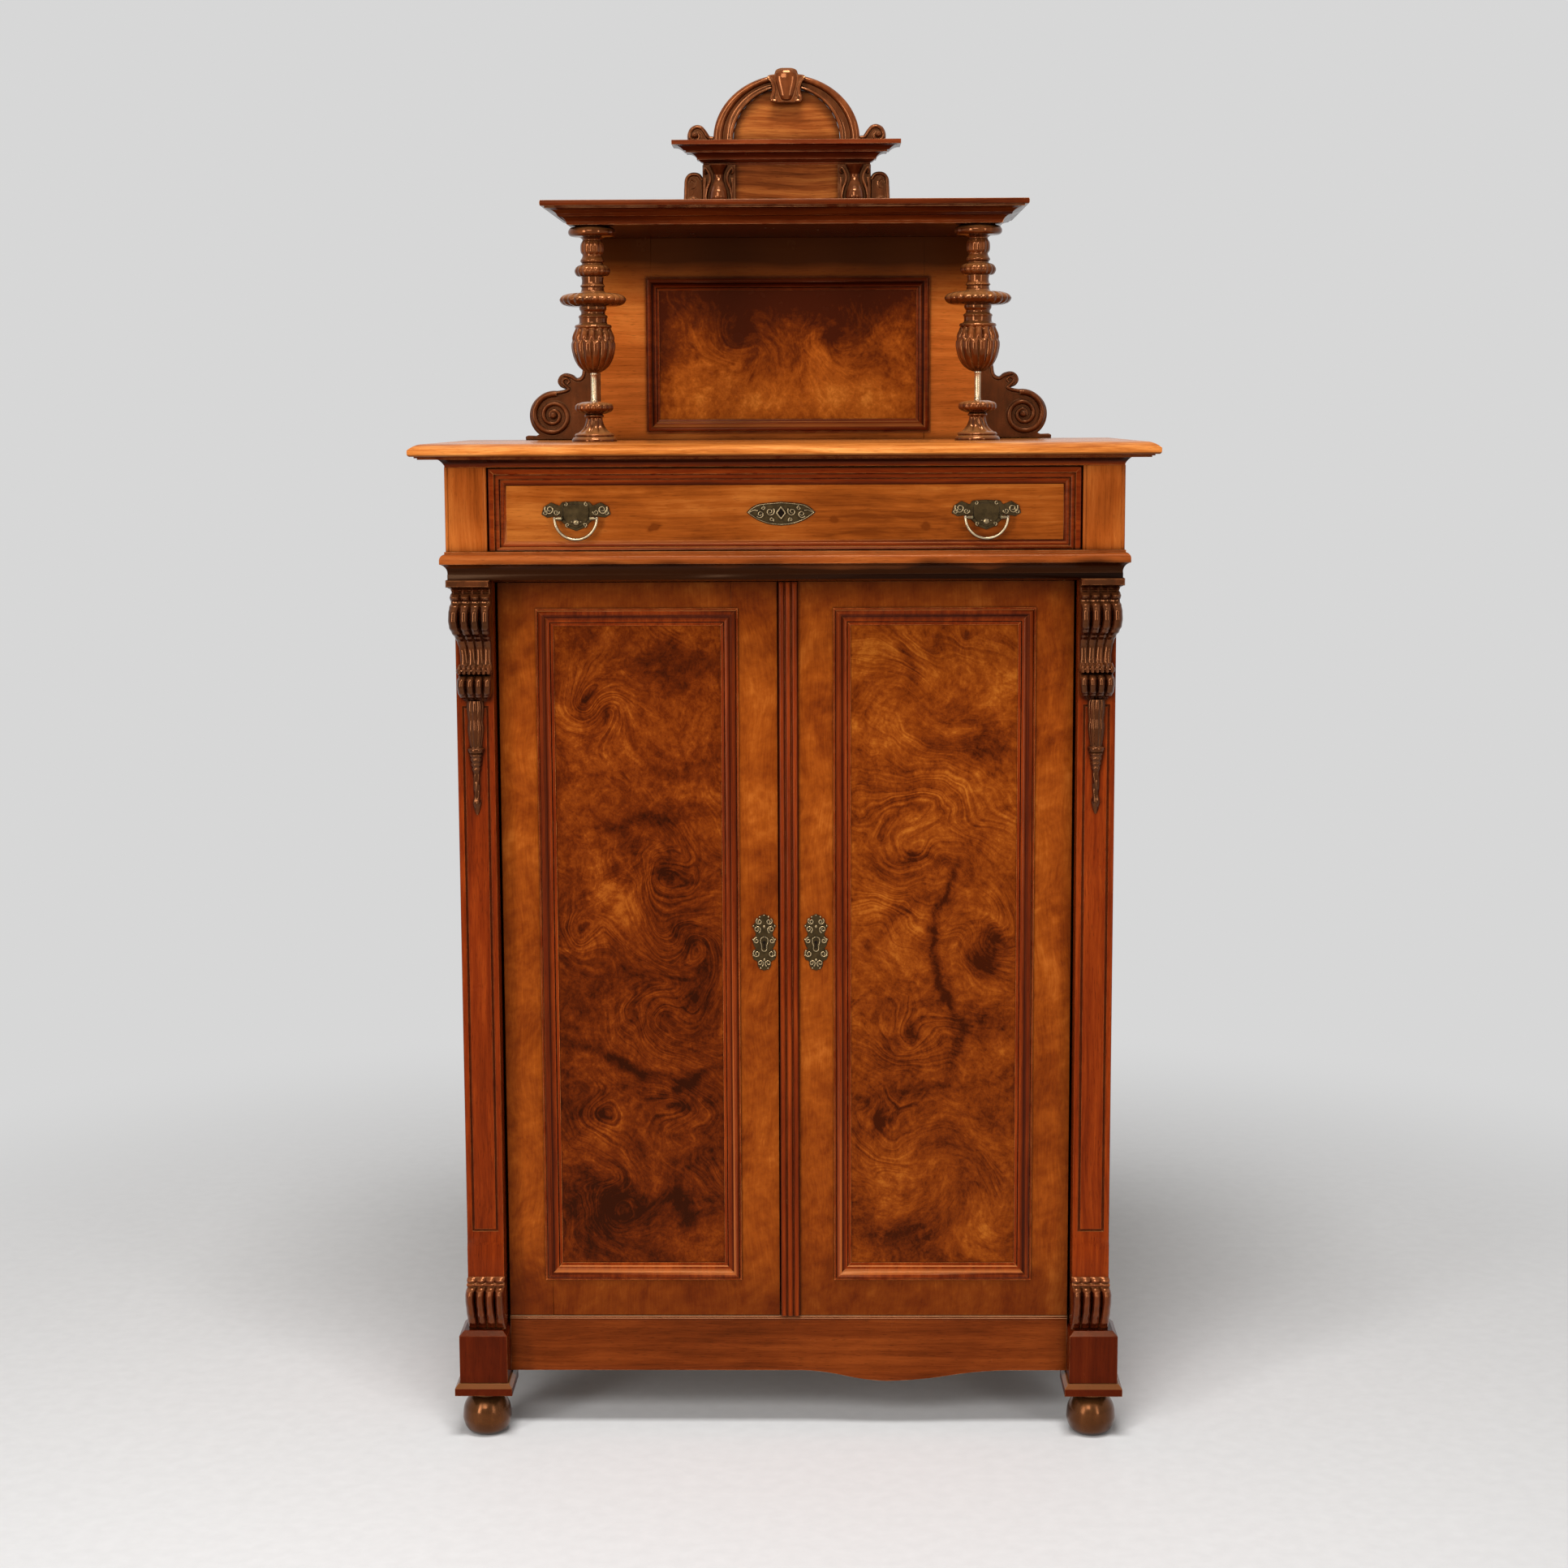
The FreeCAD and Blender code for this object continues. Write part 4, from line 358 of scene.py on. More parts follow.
def aged_metal(name, colour, dark, rough, tarnish=0.8, reach=0.006, slope_shade=0.0):
    """Hammered metal with a painted highlight along its edges, tarnish with painted shade in its hollows, and painted
    shade on its undersides and slopes.
    """
    s = Shader(name)
    colour, dark = tones(colour, dark)
    patches = s.noise(s.place, 110.0, 3.0, 0.6)
    base = s.ramp(s.weighted((patches, 1.4)), [(0.2, tuple(c * 0.6 for c in colour)), (0.75, colour)])
    # Painted highlight along the edges, tarnish and painted shade in the hollows, painted shade beneath and on slopes
    edge_highlight = tuple(min(1.0, c * 3.0 + 0.08) for c in colour)
    base = s.aged_with_painted_light(base, dark, edge_highlight, 0.9, tarnish, 0.0008, reach, slope_shade=slope_shade)
    gloss = s.range(patches, 0.3, 0.7, rough * 0.8, rough * 1.25)
    relief = s.weighted((s.noise(s.place, 700.0, 3.0), 0.6), (patches, 0.3))
    return s.finish(base, gloss, s.bump(relief, 0.15, 0.0004), metallic=0.9, specular=0.5, tint=(1.0, 1.0, 1.0))


# Painted shade: near-black for the inside of a keyhole
def keyhole_shade():
    s = Shader("keyhole_shade")
    shade = s.ramp(s.noise(s.place, 300.0), [(0.3, (0.003, 0.002, 0.002)), (0.7, (0.012, 0.009, 0.007))])
    return s.finish(shade, 0.8, specular=0.1)


# Woods: (dark, middle, light) of the grain in thousandths, the nodes made of it, its ageing and painted light

RED = ((60, 5, 1), (180, 20, 2), (330, 50, 5))
BLOCK = ((40, 3, 0.5), (78, 7, 1), (120, 14, 2))
# Mouldings: painted shade in grooves and on sloping faces, painted highlight on edges, painted light on upward faces
MOULDED = dict(cloud=0.35, streak=0.75, hollow_shade=0.98, reach=0.007, wear_and_highlight=(0.72, 0.24, 0.06), wear_and_highlight_share=1.0,
               slope_shade=0.95, top_light=0.55)
CORNICED = dict(cloud=0.4, streak=0.6, wear_and_highlight=(0.85, 0.4, 0.17), wear_and_highlight_share=1.0)
DRAWER_KNOTS = ((-0.186, 1.352, 0.007, 0.6), (0.2, 1.352, 0.006, -0.3), (0.07, 1.362, 0.005, 0))

FAMILIES = {
    "red_walnut": (RED, "door_left_moulding door_right_moulding door_right_strip drawer_moulding pilasters "
                        "bed_moulding", MOULDED),
    # Painted shadow along its top, under the cornice
    "moulding_walnut": (RED, "gallery_moulding", dict(MOULDED, shadow_band=(1.68, 1.74, 0.95))),
    "drawer_walnut": (((170, 32, 3), (340, 75, 8), (520, 150, 22)), "drawer_front",
                      dict(cloud=1.1, streak=0.9, hollow_shade=0.8, knots=DRAWER_KNOTS)),
    # Painted shadow in the cove under the waist moulding
    "waist_walnut": (((120, 22, 3), (260, 55, 9), (400, 105, 20)), "waist_moulding",
                     dict(cloud=0.35, streak=0.75, shadow_band=(1.306, 1.296, 0.98), wear_and_highlight=(0.8, 0.38, 0.15),
                          wear_and_highlight_share=0.7, reach=0.006, slope_shade=0.6)),
    "cornice_walnut": (((20, 2, 1), (100, 14, 2), (220, 40, 6)), "gallery_cornice",
                       dict(CORNICED, under=0.5, top_light=0.08)),
    "crest_cornice_walnut": (((45, 6, 2), (160, 26, 6), (300, 62, 14)),
                             "crest_cornice", dict(CORNICED, under=0.4, top_light=0.12)),
    "post_walnut": (((190, 34, 3), (340, 70, 8), (480, 125, 19)),
                    "stage_posts stage_sides", dict(cloud=1.0, streak=0.9)),
    "slab_walnut": (((300, 65, 7), (560, 170, 30), (820, 330, 85)), "top_slab",
                    dict(cloud=0.5, streak=1.2, wear_and_highlight=(0.98, 0.62, 0.3), wear_and_highlight_share=1.0, reach=0.006)),
    "apron_walnut": (((60, 9, 1), (135, 22, 3), (220, 42, 6)), "apron",
                     dict(cloud=0.8, streak=0.8, wear_and_highlight=(0.85, 0.42, 0.2), wear_and_highlight_share=1.0, top_light=0.9)),
    "block_walnut": (BLOCK, "plinth_blocks",
                     dict(cloud=0.9, streak=0.8, wear_and_highlight=(0.75, 0.3, 0.1), wear_and_highlight_share=1.0)),
    "foot_walnut": (BLOCK, "foot_plates",
                    dict(cloud=0.5, streak=0.4, wear_and_highlight=(0.85, 0.42, 0.14), wear_and_highlight_share=1.0, top_light=0.18)),
    "case_walnut": (((90, 14, 2), (185, 33, 4), (280, 58, 8)),
                    "side_frames waist_rails stage_top_rail gallery_shelf", dict(cloud=0.55, streak=0.5)),
    "board_walnut": (((180, 34, 4), (360, 82, 12), (520, 145, 25)), "side_panels",
                     dict(cloud=0.9, streak=0.7, hollow_shade=0.9)),
    # Painted light: brighter than the side panels' walnut to make up for the columns' and cornice's shade; painted
    # shadow along its top
    "lit_gallery_walnut": (((320, 65, 7), (640, 155, 22), (860, 270, 45)), "gallery_backboard",
                       dict(cloud=0.7, streak=0.7, hollow_shade=0.9, shadow_band=(1.665, 1.745, 0.985))),
    "crest_walnut": (((100, 20, 3), (250, 58, 10), (420, 130, 25)),
                     "crest_board lunette_panel", dict(cloud=0.8, streak=1.4, wear_and_highlight=(0.5, 0.2, 0.06))),
    "softwood": (((300, 135, 45), (470, 250, 95), (600, 360, 160)),
                 "back_boards bottom_board shelves dust_board runners_and_cleats drawer_box drawer_bottom",
                 dict(cloud=0.4, streak=0.7, wear_and_highlight=(0.6, 0.45, 0.28), rough=0.6, specular=0.25)),
}

CARVED = ((6, 1, 0.3), (26, 4.5, 1), (70, 14, 3))
BASE = ((20, 3, 1), (75, 10, 2), (170, 34, 8))
TURNED = ((22, 4, 1), (80, 16, 3), (200, 50, 10))
WING = ((25, 5, 1.5), (90, 20, 5), (160, 42, 12))
CREST = ((25, 5, 1.5), (85, 19, 5), (180, 48, 13))
ARCH = ((40, 8, 2), (120, 26, 6), (250, 66, 16))
BALL = ((12, 3.5, 0.7), (36, 11, 2.5), (80, 26, 6))

carving = carved_wood("carved_walnut", CARVED, (0.75, 0.27, 0.09), 0.45)
base_carving = carved_wood("carved_base_walnut", BASE, (0.85, 0.32, 0.1))
turning = carved_wood("turned_walnut", TURNED, (1.0, 0.42, 0.13), top_light=0.2)
wing_carving = carved_wood("wing_walnut", WING, (0.55, 0.26, 0.12), rough=0.24, specular=0.7)
crest_carving = carved_wood("crest_carving", CREST)
arch_carving = carved_wood("arch_walnut", ARCH, wear_and_highlight_share=0.7)
ball_wood = carved_wood("ball_walnut", BALL, (0.3, 0.15, 0.06), 0.3, 0.2)

plate_brass = aged_metal("plate_brass", (85, 52, 19), (15, 7, 3), 0.28, 0.97, 0.0035, 0.9)
# Brighter brass on the raised scrolls: rubbed bright, with a painted highlight
rubbed_highlit_brass = aged_metal("rubbed_highlit_brass", (380, 270, 140), (30, 16, 6), 0.24, 0.88, 0.002, 0.5)
bail_brass = aged_metal("bail_brass", (620, 470, 280), (100, 60, 30), 0.22, 0.4)
rod_brass = aged_metal("rod_brass", (720, 500, 300), (200, 100, 50), 0.28, 0.4)
hidden_brass = aged_metal("hidden_brass", (500, 360, 160), (50, 30, 10), 0.38, 0.5)
steel = aged_metal("lock_steel", (300, 290, 280), (30, 25, 20), 0.4, 0.6)


def left_burr():
    stops = ((22.2, 1.9, 0), (62.9, 6.9, 0.3), (118.4, 15.7, 0.8), (199.8, 34, 2.2), (325.6, 75.5, 6.6))
    # Painted light: light_fall makes the panel lighter at the top and darker at the bottom
    return burr("burr_left", stops, (0.62, 0.45),
        swirls=((-176, 833, 50, -1.3), (-298, 761, 40, 1.2), (-141, 737, 50, 1.5), (-177, 625, 55, -1.2),
            (-269, 1090, 45, 1.1), (-262, 340, 55, -1.1)),
        eyes=((-269, 1108, 22, 40, 0.45), (-269, 1070, 18, -35, 0.4), (-176, 833, 34, 60, 0.5),
            (-298, 761, 24, 35, 0.2), (-141, 737, 30, -60, 0.45), (-177, 625, 34, 55, 0.3), (-278, 476, 24, 45, 0.5),
            (-160, 489, 26, -45, 0.45), (-269, 332, 30, 45, 0.3)),
        clouds=((-168, 1150, 55, 35, 0.2, 0.34), (-253, 985, 60, 22, 0, 0.25), (-200, 925, 85, 12, 0.15, 0.32),
            (-262, 815, 20, 60, 0.6, -0.3), (-150, 780, 50, 55, 0, 0.22), (-125, 505, 45, 45, 0, 0.25),
            (-240, 558, 75, 9, -0.35, 0.5), (-150, 530, 60, 8, 0.5, 0.45), (-262, 330, 60, 50, 0, 0.38),
            (-154, 339, 12, 40, 0.3, 0.42), (-310, 1030, 20, 40, 0, -0.28), (-215, 700, 50, 60, 0, 0.15)),
        seed=3.0, light_fall=(0.25, 1.23, -0.14, 0.12))


def right_burr():
    stops = ((35.3, 3.5, 0), (98, 13.2, 0.8), (172.5, 27.8, 1.6), (258.7, 51.5, 3.6), (392, 104.4, 9.6))
    # Painted light: light_fall makes the panel lighter at the top and darker at the bottom
    return burr("burr_right", stops, (0.3, 0.8),
        swirls=((183, 865, 50, 1.1), (304, 752, 45, -1.5), (189, 605, 45, 1), (200, 1095, 60, -0.9),
            (200, 400, 70, 1), (290, 330, 50, -0.9)),
        eyes=((183, 865, 28, 40, 0.5), (304, 752, 32, 50, 0.45), (189, 605, 32, 35, 0.42), (156, 790, 30, -30, 0.1),
            (150, 470, 26, 35, 0.25), (263, 1185, 16, 20, 0.35), (200, 952, 50, -60, 0.05)),
        clouds=((262, 1030, 50, 28, 0.1, 0.28), (176, 1157, 8, 28, 0.4, 0.42), (234, 815, 7, 45, -0.35, 0.5),
            (217, 735, 7, 48, 0, 0.55), (232, 665, 7, 40, 0.4, 0.5), (290, 708, 20, 20, 0, 0.4),
            (250, 585, 10, 50, -0.2, 0.35), (290, 620, 40, 30, 0, 0.25), (144, 478, 30, 20, 0, 0.38),
            (180, 300, 50, 30, 0.5, 0.42), (205, 400, 60, 35, 0, -0.24), (196, 517, 70, 8, 0.1, 0.22),
            (140, 1080, 30, 50, 0, -0.15), (270, 300, 30, 40, 0, -0.2)),
        seed=7.0, light_fall=(0.25, 1.23, -0.08, 0.09), lines=0.9)


def gallery_burr():
    stops = ((67.5, 7.5, 0.9), (162, 25, 1.8), (324, 62.5, 4.5), (540, 125, 10.8), (810, 250, 31.5))
    # Painted shadow: light_fall and the wide cloud along the top darken the panel under the cornice
    return burr("burr_gallery", stops, (0.75, 0.3),
        swirls=((-75, 1640, 50, 1), (75, 1640, 50, -1)),
        eyes=((-75, 1640, 30, 40, 0.3), (75, 1635, 28, 40, 0.3)),
        clouds=((0, 1710, 240, 50, 0, 0.75), (-215, 1620, 35, 120, 0, 0.3), (-75, 1640, 40, 25, 0, 0.18),
            (80, 1640, 35, 25, 0, 0.18), (0, 1535, 160, 35, 0, -0.22)),
        seed=11.0, light_fall=(1.48, 1.7, 0.1, -0.14), lines=0.5, contrast=0.8, shaded=0.28)


# Pieces

def finish_piece(name, mesh, materials, node):
    """A piece that takes the place of a node, or of a share of it, on the node's body."""
    piece = bpy.data.objects.new(name, mesh)
    bpy.context.scene.collection.objects.link(piece)
    for material in materials:
        mesh.materials.append(material)
    body = next(name for name, anchor in frame["bodies"].items() if anchor == NODES[node].parent)
    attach(piece, body)
    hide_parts(node)


def islands(bm):
    """The separate closed bodies of a mesh, as lists of faces."""
    left = set(bm.faces)
    groups = []
    while left:
        stack = [left.pop()]
        group = []
        while stack:
            face = stack.pop()
            group.append(face)
            for edge in face.edges:
                for other in edge.link_faces:
                    if other in left:
                        left.remove(other)
                        stack.append(other)
        groups.append(group)
    groups.sort(key=lambda g: min(tuple(round(c, 4) for c in v.co) for f in g for v in f.verts))
    return groups


SHARP = math.radians(28)
FLAT = math.radians(0.6)


def dressed(node, materials, arris=0.0005, skip=None):
    """A node's form with its arrises eased, each stick with its grain along its length."""
    bm = bmesh.new()
    bm.from_mesh(NODES[node].data)
    bmesh.ops.remove_doubles(bm, verts=bm.verts[:], dist=1e-6)
    board = bm.verts.layers.float.new("board")
    drop = []
    for number, group in enumerate(islands(bm)):
        corners = {v for f in group for v in f.verts}
        low = [min(v.co[i] for v in corners) for i in range(3)]
        high = [max(v.co[i] for v in corners) for i in range(3)]
        if skip and skip(high):
            drop += list(corners)
            continue
        size = [h - l for l, h in zip(low, high)]
        for face in group:
            face.material_index = 0 if len(materials) == 1 else size.index(max(size))
        for vert in corners:
            vert[board] = (number * 0.37) % 1.0
    bmesh.ops.delete(bm, geom=drop, context="VERTS")
    bmesh.ops.dissolve_limit(bm, angle_limit=FLAT, verts=bm.verts[:], edges=bm.edges[:], delimit={"MATERIAL"})
    sharp = [e for e in bm.edges if len(e.link_faces) == 2 and e.calc_face_angle(0) > SHARP]
    bmesh.ops.bevel(bm, geom=sharp, offset=arris, segments=2, profile=0.6, affect="EDGES", clamp_overlap=True)
    narrow = {f for f in bm.faces if 2 * f.calc_area() < 1.2 * arris * sum(e.calc_length() for e in f.edges)}
    for face in bm.faces:
        face.smooth = face in narrow or any(
            len(e.link_faces) == 2 and not narrow.intersection(e.link_faces)
            and FLAT < e.calc_face_angle(0) < SHARP for e in face.edges)
    low, high = ([edge(v[i] for v in NODES[node].bound_box) for i in range(3)] for edge in (min, max))
    for vert in bm.verts:
        vert.co = [min(max(c, l), h) for c, l, h in zip(vert.co, low, high)]
    mesh = bpy.data.meshes.new(node + "_fine")
    bm.to_mesh(mesh)
    bm.free()
    if "custom_normal" in mesh.attributes:
        mesh.attributes.remove(mesh.attributes["custom_normal"])
    finish_piece(node + "_fine", mesh, materials, node)


def spline(points, steps):
    """A smooth run through points. A point with a third entry is a hard corner."""
    result = []
    for i in range(len(points) - 1):
        a, b = points[i], points[i + 1]
        before = a if len(a) > 2 or i == 0 else points[i - 1]
        after = b if len(b) > 2 or i + 2 == len(points) else points[i + 2]
        leave = 1.0 if before is a else 0.5
        arrive = 1.0 if after is b else 0.5
        for k in range(steps):
            t = k / steps
            h1, h2, h3, h4 = 2*t**3 - 3*t*t + 1, t**3 - 2*t*t + t, -2*t**3 + 3*t*t, t**3 - t*t
            result.append(tuple(h1 * a[j] + h2 * (b[j] - before[j]) * leave
                                + h3 * b[j] + h4 * (after[j] - a[j]) * arrive for j in (0, 1)))
    result.append(points[-1][:2])
    return result


def between(rows, eased=False, steps=4):
    """Rows with more between them; eased, all but the height come and go softly."""
    result = []
    for a, b in zip(rows, rows[1:]):
        for k in range(steps):
            t = k / steps
            soft = t * t * (3 - 2 * t) if eased else t
            result.append([a[0] + (b[0] - a[0]) * t] + [p + (q - p) * soft for p, q in zip(a[1:], b[1:])])
    return result + [rows[-1]]


def moved(points, x, z):
    return [(x + p[0], z + p[1], *p[2:]) for p in points]


def mirrored(half, x):
    """A closed outline from its right half, which starts and ends on the middle line."""
    return [(x + a[0], a[1]) for a in half] + [(x - a[0], a[1]) for a in half[-2:0:-1]]


def taper(start, end, count):
    return [start + (end - start) * i / count for i in range(count)]


def spiral(x, z, radius, end, turns, start, hand, count):
    """An (x, z) path that winds inwards."""
    path = []
    for i in range(int(count * turns) + 1):
        t = i / (count * turns)
        r = radius + (end - radius) * (1 - (1 - t) ** 1.35)
        angle = math.radians(start) + hand * TAU * turns * t
        path.append((x + r * math.cos(angle), z + r * math.sin(angle)))
    return path


def lobes(count, depth, power=0.7, turn=0.0):
    """Rounded ribs with sharp grooves between them."""
    return lambda angle: 1 - depth * (1 - abs(math.cos(count * (angle - turn) / 2)) ** power)


class Form:
    """Vertices and faces of one piece, gathered from several runs, in millimetres."""

    def __init__(self):
        self.verts = []
        self.faces = []
        self.kind = 0
        self.kinds = []

    def loft(self, rings):
        start = len(self.verts)
        n = len(rings[0])
        for ring in rings:
            self.verts += [tuple(c * 0.001 for c in p) for p in ring]
        for j in range(len(rings) - 1):
            for i in range(n):
                k = (i + 1) % n
                a = start + j * n
                self.faces.append((a + i, a + k, a + n + k, a + n + i))
        self.faces.append(tuple(start + i for i in reversed(range(n))))
        self.faces.append(tuple(start + (len(rings) - 1) * n + i for i in range(n)))
        self.kinds += [self.kind] * (len(self.faces) - len(self.kinds))

    def turn(self, profile, x, y, z, ripple=None, count=72, start=0.0, sweep=TAU):
        """A turning about an upright axis; ripple(angle, height) scales its radius."""
        full = sweep > TAU - 0.01
        rings = []
        for r, h in profile:
            ring = []
            for i in range(count if full else count + 1):
                angle = start + sweep * i / count
                radius = max(r, 0.02) * (ripple(angle, h) if ripple else 1.0)
                ring.append((x + radius * math.cos(angle), y + radius * math.sin(angle), z + h))
            rings.append(ring)
        self.loft(rings)

    def reeds(self, levels, y_back, count=4, steps=10):
        """Upright reeds: levels are (height, left, right, depth, swell)."""
        rings = []
        for z, left, right, depth, swell in levels:
            ring = [(left, y_back, z)]
            for i in range(count):
                for k in range(steps):
                    rise = math.sin(math.pi * k / steps) ** 0.6
                    x = left + (right - left) * (i + k / steps) / count
                    ring.append((x, y_back - depth + swell * (1 - rise), z))
            ring += [(right, y_back - depth + swell, z), (right, y_back, z)]
            rings.append(ring)
        self.loft(rings)

    def swell(self, rows, x, y, step=0.35):
        """A rounded body on a board: rows are (height, half width, depth); step is the depth of its sides."""
        arc = [math.pi * m / 20 for m in range(21)]
        self.loft([[(x - w * math.cos(t), y - d * (step + (1 - step) * math.sin(t) ** 0.8), z) for t in arc]
                   + [(x + w, y, z), (x - w, y, z)] for z, w, d in between(rows)])

    def bar(self, points, radii, sides=10, flat=1.0):
        """A round bar along points; flat squashes it across the depth."""
        pts = [Vector(p) for p in points]
        rings = []
        side = None
        for i, p in enumerate(pts):
            ahead = pts[min(i + 1, len(pts) - 1)] - pts[max(i - 1, 0)]
            ahead = ahead.normalized() if ahead.length else Vector((0, 0, 1))
            if side is None:
                side = ahead.cross(Vector((0, 1, 0)))
                if side.length < 0.01:
                    side = Vector((1, 0, 0))
            side = (side - ahead * side.dot(ahead)).normalized()
            up = ahead.cross(side)
            r = radii[i] if isinstance(radii, (list, tuple)) else radii
            ring = []
            for k in range(sides):
                t = TAU * k / sides
                offset = side * (r * math.cos(t)) + up * (r * math.sin(t))
                offset.y *= flat
                ring.append(tuple(p + offset))
            rings.append(ring)
        self.loft(rings)

    def ribbon(self, path, y, start, end, sides=10, flat=1.0):
        """A tapering bar along (x, z) points at one depth."""
        self.bar([(x, y, z) for x, z in path], taper(start, end, len(path)), sides, flat)

    def ball(self, x, y, z, r, ry=None, count=14):
        rings = []
        for j in range(1, 8):
            t = math.pi * j / 8
            rings.append([(x + r * math.sin(t) * math.cos(TAU * i / count), y - (ry or r) * math.cos(t),
                           z + r * math.sin(t) * math.sin(TAU * i / count)) for i in range(count)])
        self.loft(rings)

    def scrolls(self, rows, x, z, face):
        """Spiral beads that end in a ball, on both sides of x. Rows are across, up, radius, starting angle
        from upright, turns, hand, height over the face and thickness."""
        for s in (-1, 1):
            for across, up, radius, lean, turns, hand, out, thick in rows:
                path = spiral(x + s * across, z + up, radius, radius * 0.3, turns, 90 + s * lean, s * hand, 28)
                self.ribbon(path, face - out, 1.15 * thick, 1.15 * thick * 0.65, 8, 0.9)
                self.ball(path[-1][0], face - out, path[-1][1], thick * 1.05, thick * 0.9, 10)

    def slab(self, outline, y_front, y_back, bevel=0.6):
        """A plate across the depth from an (x, z) outline, with its front edge eased."""
        area = sum(a[0] * b[1] - b[0] * a[1] for a, b in zip(outline, outline[1:] + outline[:1]))
        if area < 0:
            outline = outline[::-1]
        inner = []
        n = len(outline)
        for i in range(n):
            a, b, c = outline[i - 1], outline[i], outline[(i + 1) % n]
            d1 = Vector((b[0] - a[0], b[1] - a[1])).normalized()
            d2 = Vector((c[0] - b[0], c[1] - b[1])).normalized()
            across = Vector((-(d1.y + d2.y), d1.x + d2.x))
            across = across.normalized() if across.length > 0.1 else Vector((-d1.y, d1.x))
            inner.append((b[0] + across.x * bevel, b[1] + across.y * bevel))
        self.loft([[(p[0], y_back, p[1]) for p in outline], [(p[0], y_front + bevel, p[1]) for p in outline],
                   [(p[0], y_front, p[1]) for p in inner]])

    def block(self, x0, x1, z0, z1, y_front, y_back, bevel):
        self.slab([(x0, z0), (x1, z0), (x1, z1), (x0, z1)], y_front, y_back, bevel)

    def mirror(self):
        """Adds the same again on the other side."""
        other = self.flipped()
        n = len(self.verts)
        self.verts += other.verts
        self.faces += [tuple(n + i for i in f) for f in other.faces]
        self.kinds += other.kinds

    def flipped(self):
        other = Form()
        other.verts = [(-x, y, z) for x, y, z in self.verts]
        other.faces = [tuple(reversed(f)) for f in self.faces]
        other.kinds = self.kinds
        return other

    def piece(self, node, materials, sharp=32, name=None):
        name = name or node + "_fine"
        mesh = bpy.data.meshes.new(name)
        mesh.from_pydata(self.verts, [], self.faces)
        for polygon, kind in zip(mesh.polygons, self.kinds):
            polygon.material_index = kind
        bm = bmesh.new()
        bm.from_mesh(mesh)
        bmesh.ops.recalc_face_normals(bm, faces=bm.faces[:])
        bm.to_mesh(mesh)
        bm.free()
        mesh.set_sharp_from_angle(angle=math.radians(sharp))
        for polygon in mesh.polygons:
            polygon.use_smooth = len(polygon.vertices) < 6
        finish_piece(name, mesh, materials, node)


# Carvings and turnings. Each takes its place from its node's box and its neighbours'; outlines are in
# millimetres from that place.

def feet():
    radius = 36
    profile = spline([(16, 0, 1), (23, 1.5), (31, 8), (35.6, 20), (radius, 29), (34, 42), (28, 53), (21.5, 59.5, 1),
        (21.5, 61.5, 1), (26, 62.5), (27, 64.5), (26.5, 68.5, 1)], 6)
    low, high = box("ball_feet")
    x = millimetres(MOUNTS["foot_front_right"]["pos_m"])[0]
    form = Form()
    for y in (low[1] + radius, high[1] - radius):
        form.turn(profile, x, y, low[2])
    form.mirror()
    form.piece("ball_feet", [ball_wood])


def pilaster_sides():
    """The pilaster shaft's left and right, and its face, all on the right of the cabinet."""
    return box("console_right")[0][0], box("pilasters")[1][0], box("console_right")[1][1]


def pilaster_bases():
    # height, spread to the side, bulge to the front, depth of the grooves
    rows = [(0, 0, 0.6, 2), (4, 0.2, 2.5, 3), (13, 1.6, 7, 6), (29, 3, 13, 9), (45, 4, 16.6, 10), (54, 4, 16.8, 10),
        (60, 3.2, 14.5, 9), (64, 1.6, 8.5, 5), (66, 0.8, 5.5, 2), (68, 1.6, 7.5, 1.2), (70.5, 1.6, 7.6, 1.2),
        (72, 0.8, 5.6, 1.2), (73.5, 1.4, 7.4, 3.5), (76, 1.6, 8.4, 4), (78.5, 1, 6, 3), (81, 0, 3.2, 1)]
    left, right, face = pilaster_sides()
    low, high = box("pilaster_bases")
    form = Form()
    form.reeds([(low[2] + z, left, right + spread, high[1] - face + bulge, groove)
                for z, spread, bulge, groove in between(rows, True)], high[1])
    form.mirror()
    form.piece("pilaster_bases", [base_carving], 40)


